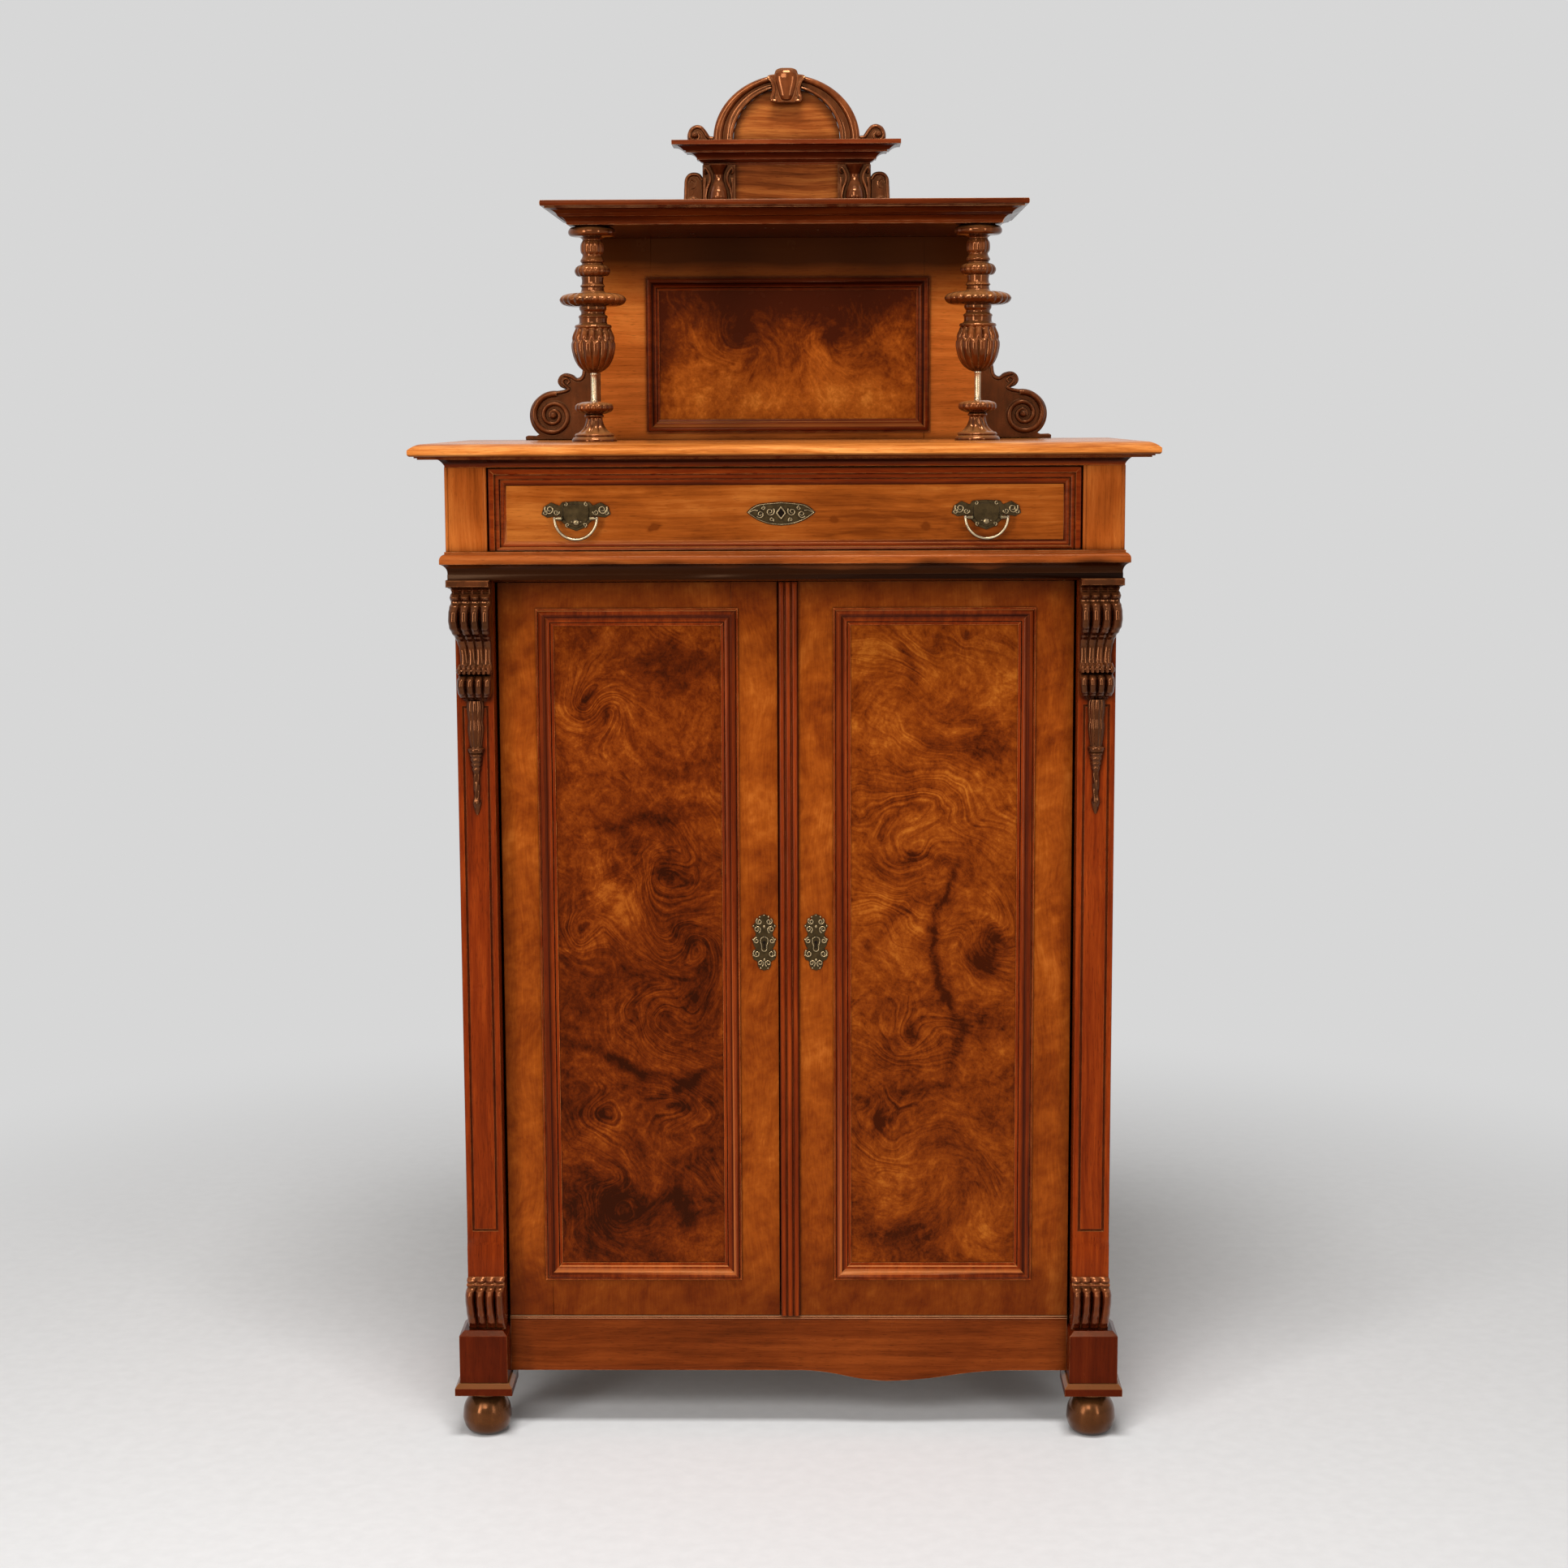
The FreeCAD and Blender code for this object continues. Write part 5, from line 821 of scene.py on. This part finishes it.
def consoles():
    # height, left, right, depth, depth of the grooves
    rows = [(0, 7.5, 42.5, 8, 2), (3, 5.5, 44.5, 12, 3), (7, 3, 47.5, 19, 5), (13, 1.5, 49.5, 24.5, 6.5),
        (23, 0.5, 50.5, 27.5, 7), (31, 0.5, 50, 26.5, 6.5), (36, 1.5, 48, 21, 3.5), (39, 2, 47, 15, 1.5),
        (41, 0.3, 50.5, 21, 2.5), (45, 0.1, 51.5, 24, 3), (49, 1, 48.5, 19, 2), (53, 2, 46, 10.5, 2),
        (63, 2, 46.5, 9, 3), (76, 1.5, 48, 9.5, 3.4), (85, 1, 50, 13, 4), (92, 0.5, 52.5, 19.5, 5.5),
        (99, 0.1, 56, 28.5, 7), (107, 0, 59, 35, 8), (117, 0, 60, 37.4, 8.5), (128, 0, 59.5, 36.6, 8),
        (137, 0.1, 58, 32.5, 5.5), (142, 0.5, 56, 26, 2.5), (144, 0.5, 56, 25.5, 2), (147, 0.3, 57, 30.5, 5),
        (150, 0.1, 57.5, 32.5, 6), (154, 0.3, 56.5, 28, 3.5), (157, 0.5, 55, 22, 1.2), (161, 0.3, 56, 24, 0.8),
        (165, 0, 60, 33, 0.4)]
    frill = ((16.5, 39.5), (22.5, 42.5), (22.5, 47.5), (14, 52.5))
    frill_width, frill_count, abacus = 49, 7, 10
    low, high = box("console_right")
    x, y, z = low[0], high[1], low[2]
    form = Form()
    form.reeds([(z + h, x + left, x + right, depth, groove) for h, left, right, depth, groove
                in between(rows, True)], y)
    form.block(x, high[0], high[2] - abacus, high[2], low[1], y, 1.5)
    for i in range(frill_count):
        across = x + 1 + frill_width * (i + 0.5) / frill_count
        form.bar([(across, y - d, z + h) for d, h in frill], [2.2, 3.4, 3.0, 1.2], 8)
    form.piece("console_right", [carving], 45)
    form.flipped().piece("console_left", [carving], 45)


def pendants():
    profile = spline([(11.5, 166, 1), (12.8, 160), (12.6, 150), (11.2, 136), (12.2, 128), (11.6, 118), (9.6, 104),
        (8.2, 98, 1), (12, 97), (12.4, 93.5), (11.6, 91, 1), (8.4, 90, 1), (10.4, 87), (8.6, 83, 1), (9.4, 80),
        (7.4, 76, 1), (8.4, 73), (6.4, 69, 1), (7.2, 66), (5.4, 62, 1), (5.2, 50), (4.8, 36), (4.4, 26), (5.6, 22),
        (6.0, 17), (4.6, 11), (3.4, 5), (1.2, 0, 1)], 4)

    def ripple(angle, height):
        if height > 99:
            return lobes(8, 0.16)(angle)
        return 1 + 0.06 * math.sin(5 * angle + height * 0.24) if height < 62 else 1

    left, right, face = pilaster_sides()
    form = Form()
    form.turn(profile, (left + right) / 2, face, box("pendants")[0][2], ripple, 48, math.pi, math.pi)
    form.mirror()
    form.piece("pendants", [carving], 40)


def columns():
    foot = spline([(33, 0, 1), (33.2, 3), (31, 6.4, 1), (28.5, 7.2), (29.4, 9.6), (27.6, 12, 1), (22, 14.5),
        (16, 21), (12.6, 30), (12.2, 35, 1), (14, 36.5), (14, 38.5), (12.2, 40, 1), (18, 41.2), (26, 44.6),
        (28.1, 49.6), (26, 54.6), (18, 57.4), (10, 58.56, 1)], 5)
    vase = spline([(7, 0, 1), (14, 3), (22.4, 10), (28.6, 21), (31.9, 34), (32.2, 43), (30.6, 54), (26.0, 64.6, 1),
        (27.2, 67), (26.2, 69.4, 1), (21.2, 71.5), (20.2, 75), (20.5, 79.1, 1)], 6)
    head = spline([(20.5, 0, 1), (21.5, 2), (20.4, 4.2, 1), (18.2, 5.5), (17.6, 9), (19.6, 12.5), (20, 16, 1),
        (34, 17), (44, 20), (48.4, 25), (48.4, 28.5), (44, 33), (34, 36), (20, 37, 1), (17.2, 39), (16.2, 44, 1),
        (18.2, 46.5), (16.2, 49, 1), (15.6, 54), (16.4, 59.5, 1), (22.5, 61), (25.8, 66), (25.8, 70), (22.5, 75),
        (16, 77.2, 1), (15.4, 79), (17.6, 82.5), (15.2, 87, 1), (14.2, 91), (16.6, 95), (17.2, 101), (16.6, 107),
        (14.4, 111, 1), (14.2, 113.5), (18, 116.5, 1), (30, 117.6), (34.2, 121), (34.4, 126), (31, 130),
        (24, 132.4, 1)], 4)
    rod = spline([(5, 0, 1), (5, 2), (4.4, 3.2, 1), (4.4, 38, 1), (5, 39.2), (5, 41.3, 1)], 4)
    rod_level, vase_level, head_level = 58.6, 99.9, 179.1

    def foot_ripple(angle, height):
        if height > 40.5:
            return lobes(16, 0.07, 0.8)(angle)
        return lobes(9, 0.16, 0.8)(angle + height * 0.02) if 13 < height < 35 else 1

    def vase_ripple(angle, height):
        low = max(0.0, min(1.0, (50 - height) / 6)) * min(1.0, height / 8)
        high = max(0.0, min(1.0, (height - 44) / 4)) * max(0.0, min(1.0, (65 - height) / 4))
        return 1 - low * (1 - lobes(14, 0.12, 0.6)(angle)) - high * (1 - lobes(14, 0.15, 0.8, math.pi / 14)(angle))

    def head_ripple(angle, height):
        for low, high, count, depth in ((17, 36.5, 22, 0.05), (60, 77, 16, 0.06), (92, 110, 12, 0.07)):
            if low < height < high:
                return lobes(count, depth, 0.9)(angle)
        return 1

    low, high = box("column_right")
    x, y, z = (low[0] + high[0]) / 2, (low[1] + high[1]) / 2, low[2]
    form = Form()
    form.turn(foot, x, y, z, foot_ripple, 144)
    form.turn(vase, x, y, z + vase_level, vase_ripple, 168)
    form.turn(head, x, y, z + head_level, head_ripple, 132)
    form.piece("column_right", [turning], 50)
    form.flipped().piece("column_left", [turning], 50)
    form = Form()
    form.turn(rod, x, y, z + rod_level, None, 40)
    form.mirror()
    form.piece("column_rods", [rod_brass])


def wings():
    volute_x, volute_z, rim_radius, spiral_radius, thickness = 75.0, 38.0, 37.2, 34.0, 18.5
    toe = spline([(0, 0, 1), (119, 0, 1), (119, 5), (115, 7, 1), (102, 6.5, 1)], 3)
    back = spline([(70, 75.3, 1), (62, 76.5), (55, 78.5), (63, 82.5), (67.5, 90.5), (64, 99.5), (55, 103.9),
        (44, 101.5), (37, 96.5), (30, 100.5), (27.5, 113.5), (24, 129.5), (15, 147.5), (0, 170.5, 1)], 5)
    ear = spline([(71, 73), (58, 75), (50, 79), (56.5, 85.5), (59.5, 91.5), (54, 95.5), (49, 91), (52, 87)], 8)
    rib = spline([(58, 101), (46, 98), (37, 93), (28, 96.5), (24, 111.5), (19, 127.5), (10, 145.5), (3, 157.5)], 6)
    x, z = box("gallery_backboard")[1][0], box("gallery_wings")[0][2]
    y_back = box("gallery_wings")[1][1]
    y = y_back - thickness
    rim = [(volute_x + rim_radius * math.cos(t), volute_z + rim_radius * math.sin(t))
           for t in (math.radians(a) for a in range(-52, 96, 6))]
    form = Form()
    form.slab(moved(toe + rim + back, x, z), y, y_back, 1.6)
    form.ribbon(spiral(x + volute_x, z + volute_z, spiral_radius, 5.5, 2.35, 100, -1, 48), y - 0.9, 5.2, 2.86, 12, 1.1)
    form.ball(x + volute_x, y - 1.0, z + volute_z, 6.2, 5.6)
    form.ribbon(moved(ear, x, z), y - 1.1, 3.2, 1.6)
    form.ribbon(moved(rib, x, z), y - 0.7, 2.6, 2.6, 10, 0.9)
    form.mirror()
    form.piece("gallery_wings", [wing_carving], 40)


def crest_brackets():
    """An egg under a flared neck, held between two ribbons, before a plate with a bead down each side."""
    egg = [(3, 3.5, 9), (5, 7, 16), (9, 10.5, 22.5), (15, 13.2, 27.5), (23, 14.4, 30), (32, 13.4, 28.5),
        (41, 10.6, 23), (48, 8.4, 17), (53, 7.8, 14.5), (58, 8.4, 15), (64, 10.6, 18), (69, 13.2, 21), (73, 15, 23)]
    ribbon = spline([(4, 3.4), (12, 6), (18.2, 14), (19.4, 25), (17.4, 36), (13.6, 46), (12.8, 54), (15.4, 62),
        (20, 67.4), (22.4, 63.6), (20.2, 59.6), (17.6, 61.4)], 6)
    bead = ((6.5, 2.5), (8, 15), (7.4, 41), (9, 53))
    width, plate, egg_side = 50, 7, 24
    low, high = box("crest_brackets")
    right, y, z = high[0], high[1], low[2]
    left, middle = right - width, right - egg_side
    form = Form()
    form.swell([(z + h, w, d) for h, w, d in egg], middle, y)
    form.block(left, right, z, high[2], y - plate, y, 1.0)
    for hand in (-1, 1):
        form.bar([(middle + hand * a, y - 8.6 - 6 * math.sin(math.pi * i / len(ribbon)), z + b)
                  for i, (a, b) in enumerate(ribbon)], taper(2.9, 1.7, len(ribbon)), 8)
    for x in (left + 5.5, right - 3.5):
        form.bar([(x, y - d, z + h) for d, h in bead], 2.2, 8)
    form.mirror()
    form.piece("crest_brackets", [crest_carving], 45)


def crest_scrolls():
    side = spline([(0, 0, 1), (33.5, 0, 1), (32, 7), (29.8, 17), (29, 27), (28.4, 41), (25.5, 54), (18.5, 61.6),
        (9, 61.6), (2.5, 57), (0, 53, 1)], 5)
    side_curl = spline([(1, 51), (7, 58.4), (18, 58.8), (24.4, 52), (25.6, 40), (26, 27), (27.4, 14), (24.6, 4.6),
        (15.5, 2.6), (8.6, 8), (8.4, 18), (14.5, 23.6), (21, 20), (20.4, 13.4), (15.4, 11.6)], 6)
    top_curl = spline([(21.4, 47), (17, 51.6), (11.4, 47.4), (12.4, 40), (18, 37.6)], 6)
    ear = spline([(0, 0, 1), (37.6, 0, 1), (39.8, 6), (39.4, 14), (35, 22.4), (26, 26.8), (17, 24.6), (11, 17.4),
        (7.6, 11), (0, 9, 1)], 5)
    ear_curl = spline([(1, 6), (7.6, 7.6), (13, 15.5), (18.5, 21.4), (26.5, 23), (33.6, 18.4), (36.4, 10.4),
        (32.6, 3.8), (24.4, 4), (21.6, 10.4), (25.4, 15)], 6)
    low, high = box("crest_scrolls")
    y, y_back = low[1] + 2.5, high[1] - 1
    form = Form()
    x, z = box("crest_board")[1][0], low[2]
    form.slab(moved(side, x, z), y, y_back, 1.6)
    form.ribbon(moved(side_curl, x, z), y + 0.1, 3.1, 1.9, 10, 0.95)
    form.ribbon(moved(top_curl, x, z), y + 0.3, 2.3, 1.3, 8, 0.95)
    x, z = box("crest_arch")[1][0], box("crest_arch")[0][2]
    form.slab(moved(ear, x, z), y, y_back, 1.8)
    form.ribbon(moved(ear_curl, x, z), y - 0.1, 3.2, 2.2)
    form.ball(x + 28.5, y - 0.9, z + 11.5, 5.4, 4.4)
    form.mirror()
    form.piece("crest_scrolls", [crest_carving], 40)


def crest_arch():
    # across the arch from its inner to its outer edge, and the depth behind the board's face
    profile = [(-15, 0), (-15, -1.8), (-13.8, -3.6), (-12, -4.0), (-10.2, -3.4), (-9.2, -1.0), (-8.6, 2.2),
        (-6.0, 3.4), (-2.4, 3.4), (0.6, 2.6), (1.4, -0.6), (3.2, -2.8), (6.6, -4.0), (10, -4.0), (13.0, -3.0),
        (15, -0.6), (15, 0)]
    radius, rise, half_width, board = 97, 87.5, 15, 20
    key = spline([(12, 0, 1), (20, 2), (23, 9), (18, 19), (19.5, 28), (29.4, 37.4, 1), (27, 41), (18, 42.6, 1),
        (15.6, 48.6), (9, 51.6), (0, 52, 1)], 5)
    lobe = [(2, 6, 7), (5, 9, 11), (11, 11.6, 12.8), (20, 14, 13), (30, 16.8, 13), (38, 18, 13), (44, 17, 12.4),
        (48, 14, 10.8), (51, 8.5, 8)]
    ribbon = spline([(28.4, 38), (22.6, 32.6), (19, 23.6), (19.4, 14.6), (22.2, 8), (20.6, 3.4), (16, 3.6),
        (15.4, 8)], 6)
    low, high = box("crest_arch")
    spring, y = box("lunette_panel")[0][2], high[1] - board
    key_z = high[2] - key[-1][1]
    rings = []
    for i in range(65):
        t = math.pi * i / 64
        rings.append([((radius + off) * math.cos(t), y + d, spring + (rise + off * 9.5 / half_width) * math.sin(t))
                      for off, d in profile + [(half_width, board), (-half_width, board)]])
    form = Form()
    form.loft(rings)
    form.block(low[0], high[0], low[2], spring, y - 4, high[1], 0.8)
    form.slab(moved(key, 0, key_z) + [(-a, key_z + b) for a, b in key[-2::-1]], y - 8, high[1] - 2, 1.4)
    form.swell([(key_z + h, w, d) for h, w, d in lobe], 0, y, 0.3)
    for hand in (-1, 1):
        form.bar([(hand * a, y - 8.4, key_z + b) for a, b in ribbon],
                 [1.6 + 1.4 * math.sin(math.pi * i / len(ribbon)) ** 0.5 for i in range(len(ribbon))], 8)
    form.piece("crest_arch", [arch_carving], 35)


# Brass

METALS = [plate_brass, rubbed_highlit_brass]
DRAWER_FACE = box("drawer_front")[0][1]
DOOR_FACE = box("door_left_frame")[0][1]
PULL_LEVEL = sum(corner[2] for corner in box("drawer_plates")) / 2
DRAWER_KEY = (sum(corner[0] for corner in box("drawer_lock_bolt")) / 2, PULL_LEVEL + 2.5)
DOOR_KEYS = {"left": (-33.0, 742.0), "right": (43.0, 742.0)}
DOOR_PLATE = (34, 84)


def pull_plate(side):
    """The plate behind a bail: shield, domes, and scrolls on its wings, with two posts for the bail."""
    x, face, z = millimetres(JOINTS[f"bail_{side}_hinge"]["pos_m"])[0], DRAWER_FACE, PULL_LEVEL
    half = [(0, 21), (19.6, 19.7), (23.5, 14.7), (35.3, 19.3), (46, 13), (49, 2.5), (41.2, -2.1), (29.4, -0.4),
        (20.6, -7.6), (10.8, -16.8), (0, -21)]
    shield = [(17.5, 16.5), (19, 6), (17.5, -4), (9.5, -13.5), (0, -17.5)]
    form = Form()
    form.slab(moved(mirrored(half, 0), x, z), face - 1.5, face, 0.5)
    form.slab(moved(shield + [(-a, b) for a, b in shield[-2::-1]], x, z), face - 2.5, face - 1.4, 0.7)
    form.kind = 1
    form.ball(x, face - 2.2, z - 9.0, 5.2, 2.6)
    for s in (-1, 1):
        form.ball(x + s * 6.5, face - 2.4, z - 8.0, 2.0, 1.6)
    form.scrolls(((37.5, 9.5, 7.2, -60, 1.4, -1, 1.8, 1.5), (44.2, 4.8, 3.6, 40, 1.1, 1, 1.6, 1.1),
        (28.2, 5.4, 4.4, 80, 1.2, 1, 1.7, 1.2), (14.5, 16.6, 3.0, 0, 1.0, 1, 2.2, 1.0),
        (12.2, -12.4, 3.2, -180, 1.1, 1, 1.8, 1.0)), x, z, face)
    post = z - 3
    for s in (-1, 1):
        form.bar([(x + s * 20.5, face - 1.4, post), (x + s * 22.5, face - 5, post), (x + s * 22.5, face - 11, post)],
                 [3.4, 3.0, 3.1], 14)
        form.bar([(x + s * 20.9, face - 11, post), (x + s * 26.6, face - 11, post)], 3.3, 14)
    form.piece("drawer_plates", METALS, 50, "pull_plate_" + side)


def bail(side):
    x, y, z = millimetres(JOINTS[f"bail_{side}_hinge"]["pos_m"])
    radius, steps = 30, 40
    path = [(x + radius * math.cos(t), y, z + radius * math.sin(t))
            for t in (math.pi + math.pi * i / steps for i in range(steps + 1))]
    thick = [2.0 + 0.25 * math.sin(math.pi * i / steps) for i in range(steps + 1)]
    form = Form()
    form.bar([(path[0][0], y, z + 1.8)] + path + [(path[-1][0], y, z + 1.8)], [2.25] + thick + [2.25], 12)
    for s in (-1, 1):
        form.bar([(x + s * 31.8, y, z), (x + s * 22.6, y, z)], 1.55, 10)
        form.ball(x + s * radius, y, z + 0.2, 2.25)
    form.ball(x, y, z - radius, 2.25)
    form.piece("bail_" + side, [bail_brass], 60)


def door_plate(side):
    """A key plate; its outline and scrolls are in shares of its half width and half height."""
    half = spline([(0, 1, 1), (0.34, 0.93), (0.4, 0.8), (0.72, 0.72), (0.95, 0.58), (0.8, 0.4), (0.72, 0.26),
        (0.98, 0.1), (0.9, -0.1), (0.74, -0.24), (0.98, -0.42), (0.92, -0.6), (0.6, -0.68), (0.56, -0.84),
        (0.3, -0.95), (0, -1, 1)], 3)
    # across, up, radius, starting angle, turns
    scrolls = ((0.42, 0.74, 0.26, -30, 1.3), (0.6, 0.46, 0.28, 150, 1.3), (0.66, 0.06, 0.24, 0, 1.2),
        (0.64, -0.4, 0.3, -30, 1.3), (0.34, -0.74, 0.26, 150, 1.2))
    beads = ((0.92, 0.58), (0.95, 0.1), (0.94, -0.46), (0.38, 0.9), (0.32, -0.92))
    rim = spline([(0.6, 8.4), (4.6, 6), (5.4, 1), (3.8, -5), (3.6, -11), (0.5, -13.4)], 5)
    (x, z), face = DOOR_KEYS[side], DOOR_FACE
    w, h = DOOR_PLATE[0] / 2, DOOR_PLATE[1] / 2
    form = Form()
    form.slab(mirrored([(a * w, z + b * h) for a, b in half], x), face - 1.0, face, 0.4)
    form.kind = 1
    form.scrolls([(u * w, v * h, r * w * 1.15, angle, turns, -1, 1.3, 1.25) for u, v, r, angle, turns in scrolls],
                 x, z, face)
    for s in (-1, 1):
        for u, v in beads:
            form.ball(x + s * u * w, face - 1.2, z + v * h, 1.7, 1.3, 10)
        form.bar([(x + s * a, face - 1.5, z + b) for a, b in rim], 1.1, 8)
    form.ball(x, face - 1.4, z + 0.96 * h, 1.6, 1.3, 10)
    form.ball(x, face - 1.5, z + 0.56 * h, 2.6, 1.9, 12)
    form.ball(x, face - 1.5, z - 0.62 * h, 2.4, 1.8, 12)
    form.piece(f"door_{side}_fittings", METALS, 50, f"door_{side}_key_plate")


def drawer_plate():
    half = spline([(0, 17, 1), (16.6, 15.6), (32, 13.6), (42, 8.5), (48.9, 1.8, 1), (41, -4.4), (30.2, -10.6),
        (15.6, -15.4), (0, -17, 1)], 4)
    leaf = spline([(33, 4.4), (38.5, 5), (43.5, 2.6), (46.5, 1.4)], 5)
    rim = [(0, 8.4), (6.4, 0), (0, -8.4), (-6.4, 0), (0, 8.4)]
    (x, z), face = DRAWER_KEY, DRAWER_FACE
    form = Form()
    form.slab(moved(mirrored(half, 0), x, z), face - 1.0, face, 0.5)
    form.kind = 1
    for s in (1, -1):
        form.bar([(x + s * a * 0.95, face - 1.3, z + b * 0.9) for a, b in half], 1.0, 8)
    form.bar([(x + a, face - 1.5, z + 1 + b) for _, a, b in between([(0, *corner) for corner in rim])], 1.5, 8)
    form.scrolls(((15.5, 3.0, 6.4, 50, 1.4, 1, 1.6, 1.3), (29.5, -0.6, 5.6, -120, 1.4, -1, 1.5, 1.2),
        (13.5, -8.6, 3.4, 130, 1.2, -1, 1.4, 1.0), (25.5, 8.0, 3.2, 0, 1.2, 1, 1.4, 1.0)), x, z, face)
    for s in (-1, 1):
        form.bar([(x + s * a, face - 1.4, z + b) for a, b in leaf], taper(1.5, 0.7, len(leaf)), 8)
    form.piece("drawer_plates", METALS, 50, "drawer_escutcheon")


def keyholes():
    """Dark slots let into the three plates, black as painted shade in place of the keyholes' depth."""
    dark = [keyhole_shade()]
    sunk, deep, edge = 1.15, 0.9, 0.2
    round_end = [(2.6 * math.cos(t), 2.6 * math.sin(t)) for t in (TAU * (i - 3) / 16 for i in range(15))]
    for side, (x, z) in DOOR_KEYS.items():
        form = Form()
        form.slab(moved(round_end + [(-1.1, -9), (1.1, -9)], x, z), DOOR_FACE - sunk, DOOR_FACE - sunk + deep, edge)
        form.piece(f"door_{side}_fittings", dark, name="keyhole_" + side)
    form = Form()
    form.slab(moved([(-5, 1), (0, -6), (5, 1), (0, 8)], *DRAWER_KEY), DRAWER_FACE - sunk, DRAWER_FACE - sunk + deep,
              edge)
    form.piece("drawer_plates", dark, name="keyhole_drawer")


# The nodes that keep their form

def paint(material, *names):
    for name in names:
        slots = NODES[name].data.materials
        slots.clear()
        slots.append(material)


def door_metal():
    """The fittings without their key plates, which have pieces of their own."""
    behind_plates = -0.1515
    for side in ("left", "right"):
        dressed(f"door_{side}_fittings", [hidden_brass], 0.0003, lambda high: high[1] < behind_plates)


def woodwork():
    for family, (colours, nodes, aging_and_light) in FAMILIES.items():
        # Each wood gets its wear and its painted highlight, light and shade
        woods = [grained(family + "_" + axis, axis, *tones(*colours), **aging_and_light) for axis in "xyz"]
        for node in nodes.split():
            dressed(node, woods)
    for side, seed in (("left", 2.0), ("right", 5.0)):
        dressed(f"door_{side}_frame", [door_veneer("door_veneer_" + side, seed)], 0.0004)
    paint(left_burr(), "door_left_panel")
    paint(right_burr(), "door_right_panel")
    paint(gallery_burr(), "gallery_panel")


# Floor, lights and camera

PALE = (0.68, 0.68, 0.68)
AMBIENT, AMBIENT_STRENGTH = (1.0, 0.98, 0.95), 0.17
# name, place, aim, width and height, watts
LAMPS = (("key", (-1.0, -4.4, 3.4), (0, 0, 1.15), (1.8, 1.2), 54), ("left_strip", (-2.6, -3.4, 1.7), (0, 0, 1.2),
    (0.8, 3.0), 76), ("right_strip", (2.4, -3.6, 1.7), (0, 0, 1.2), (0.6, 3.0), 34), ("top", (0.0, -1.8, 4.8),
    (0, -0.4, 0.5), (1.6, 1.0), 130))


def shown_to_eye(tree):
    """1 where the camera, a mirror or glass looks, 0 for light that falls on the object."""
    ray = add_node(tree, "LightPath").outputs
    seen = ray["Is Camera Ray"]
    for other in ("Is Glossy Ray", "Is Transmission Ray"):
        seen = add_node(tree, "Math", {0: seen, 1: ray[other]}, operation="MAXIMUM").outputs[0]
    return seen


def stage_floor():
    """A pale floor that keeps the cabinet's shadow and fades into the background."""
    size, fade_start, fade_end = 30.0, 0.9, 2.6
    mesh = bpy.data.meshes.new("floor")
    mesh.from_pydata([(-size, -size, 0), (size, -size, 0), (size, size, 0), (-size, size, 0)], [], [(0, 1, 2, 3)])
    floor = bpy.data.objects.new("floor", mesh)
    bpy.context.scene.collection.objects.link(floor)
    s = Shader("pale_floor")
    mottle = s.ramp(s.noise(s.here, 40.0, 3.0), [(0.3, (0.84, 0.835, 0.83)), (0.7, (0.88, 0.875, 0.87))])
    mesh.materials.append(s.finish(mottle, 0.6, specular=0.2))
    away = s.vector("LENGTH", s.stretched(s.here, 1, 1, 0))
    fade = s.node("MapRange", {"Value": away, "From Min": fade_start, "From Max": fade_end},
                  interpolation_type="SMOOTHSTEP").outputs[0]
    glow = s.node("Emission", {"Color": PALE, "Strength": 1.0})
    share = s.math("MULTIPLY", fade, shown_to_eye(s.tree))
    mixed = s.node("MixShader", {0: share, 1: s.surface.outputs[0], 2: glow.outputs[0]})
    feed(s.output.inputs[0], mixed.outputs[0])


def world():
    made = bpy.data.worlds.new("studio")
    bpy.context.scene.world = made
    made.use_nodes = True
    tree = made.node_tree
    tree.nodes.clear()
    on_object, seen = (add_node(tree, "Background", {0: colour, 1: strength}).outputs[0]
                       for colour, strength in ((AMBIENT, AMBIENT_STRENGTH), (PALE, 1.0)))
    mixed = add_node(tree, "MixShader", {0: shown_to_eye(tree), 1: on_object, 2: seen})
    add_node(tree, "OutputWorld", {0: mixed.outputs[0]})


def lamps():
    for name, place, aim, size, power in LAMPS:
        data = bpy.data.lights.new(name, "AREA")
        data.shape = "RECTANGLE"
        data.size, data.size_y = size
        data.energy = power
        made = bpy.data.objects.new(name, data)
        made.location = place
        made.rotation_euler = (Vector(aim) - Vector(place)).to_track_quat("-Z", "Y").to_euler()
        bpy.context.scene.collection.objects.link(made)


def camera():
    """Solved from the photograph's parallel edges."""
    data = bpy.data.cameras.new("camera")
    data.sensor_width = 36.0
    data.lens = 63.1
    made = bpy.data.objects.new("camera", data)
    made.location = (0.054, -4.115, 1.515)
    made.rotation_euler = [math.radians(a) for a in (90 - 7.74, 0.235, 0.793)]
    bpy.context.scene.collection.objects.link(made)
    bpy.context.scene.camera = made
    bpy.context.scene.view_settings.view_transform = "Standard"


feet()
pilaster_bases()
consoles()
pendants()
columns()
wings()
crest_brackets()
crest_scrolls()
crest_arch()
for side in ("left", "right"):
    pull_plate(side)
    bail(side)
drawer_plate()
for side in DOOR_KEYS:
    door_plate(side)
keyholes()
door_metal()
woodwork()
paint(hidden_brass, "hinge_plates")
paint(steel, "door_lock_bolt", "door_bolt_top", "door_bolt_bottom", "drawer_lock", "drawer_lock_bolt")
stage_floor()
world()
lamps()
camera()
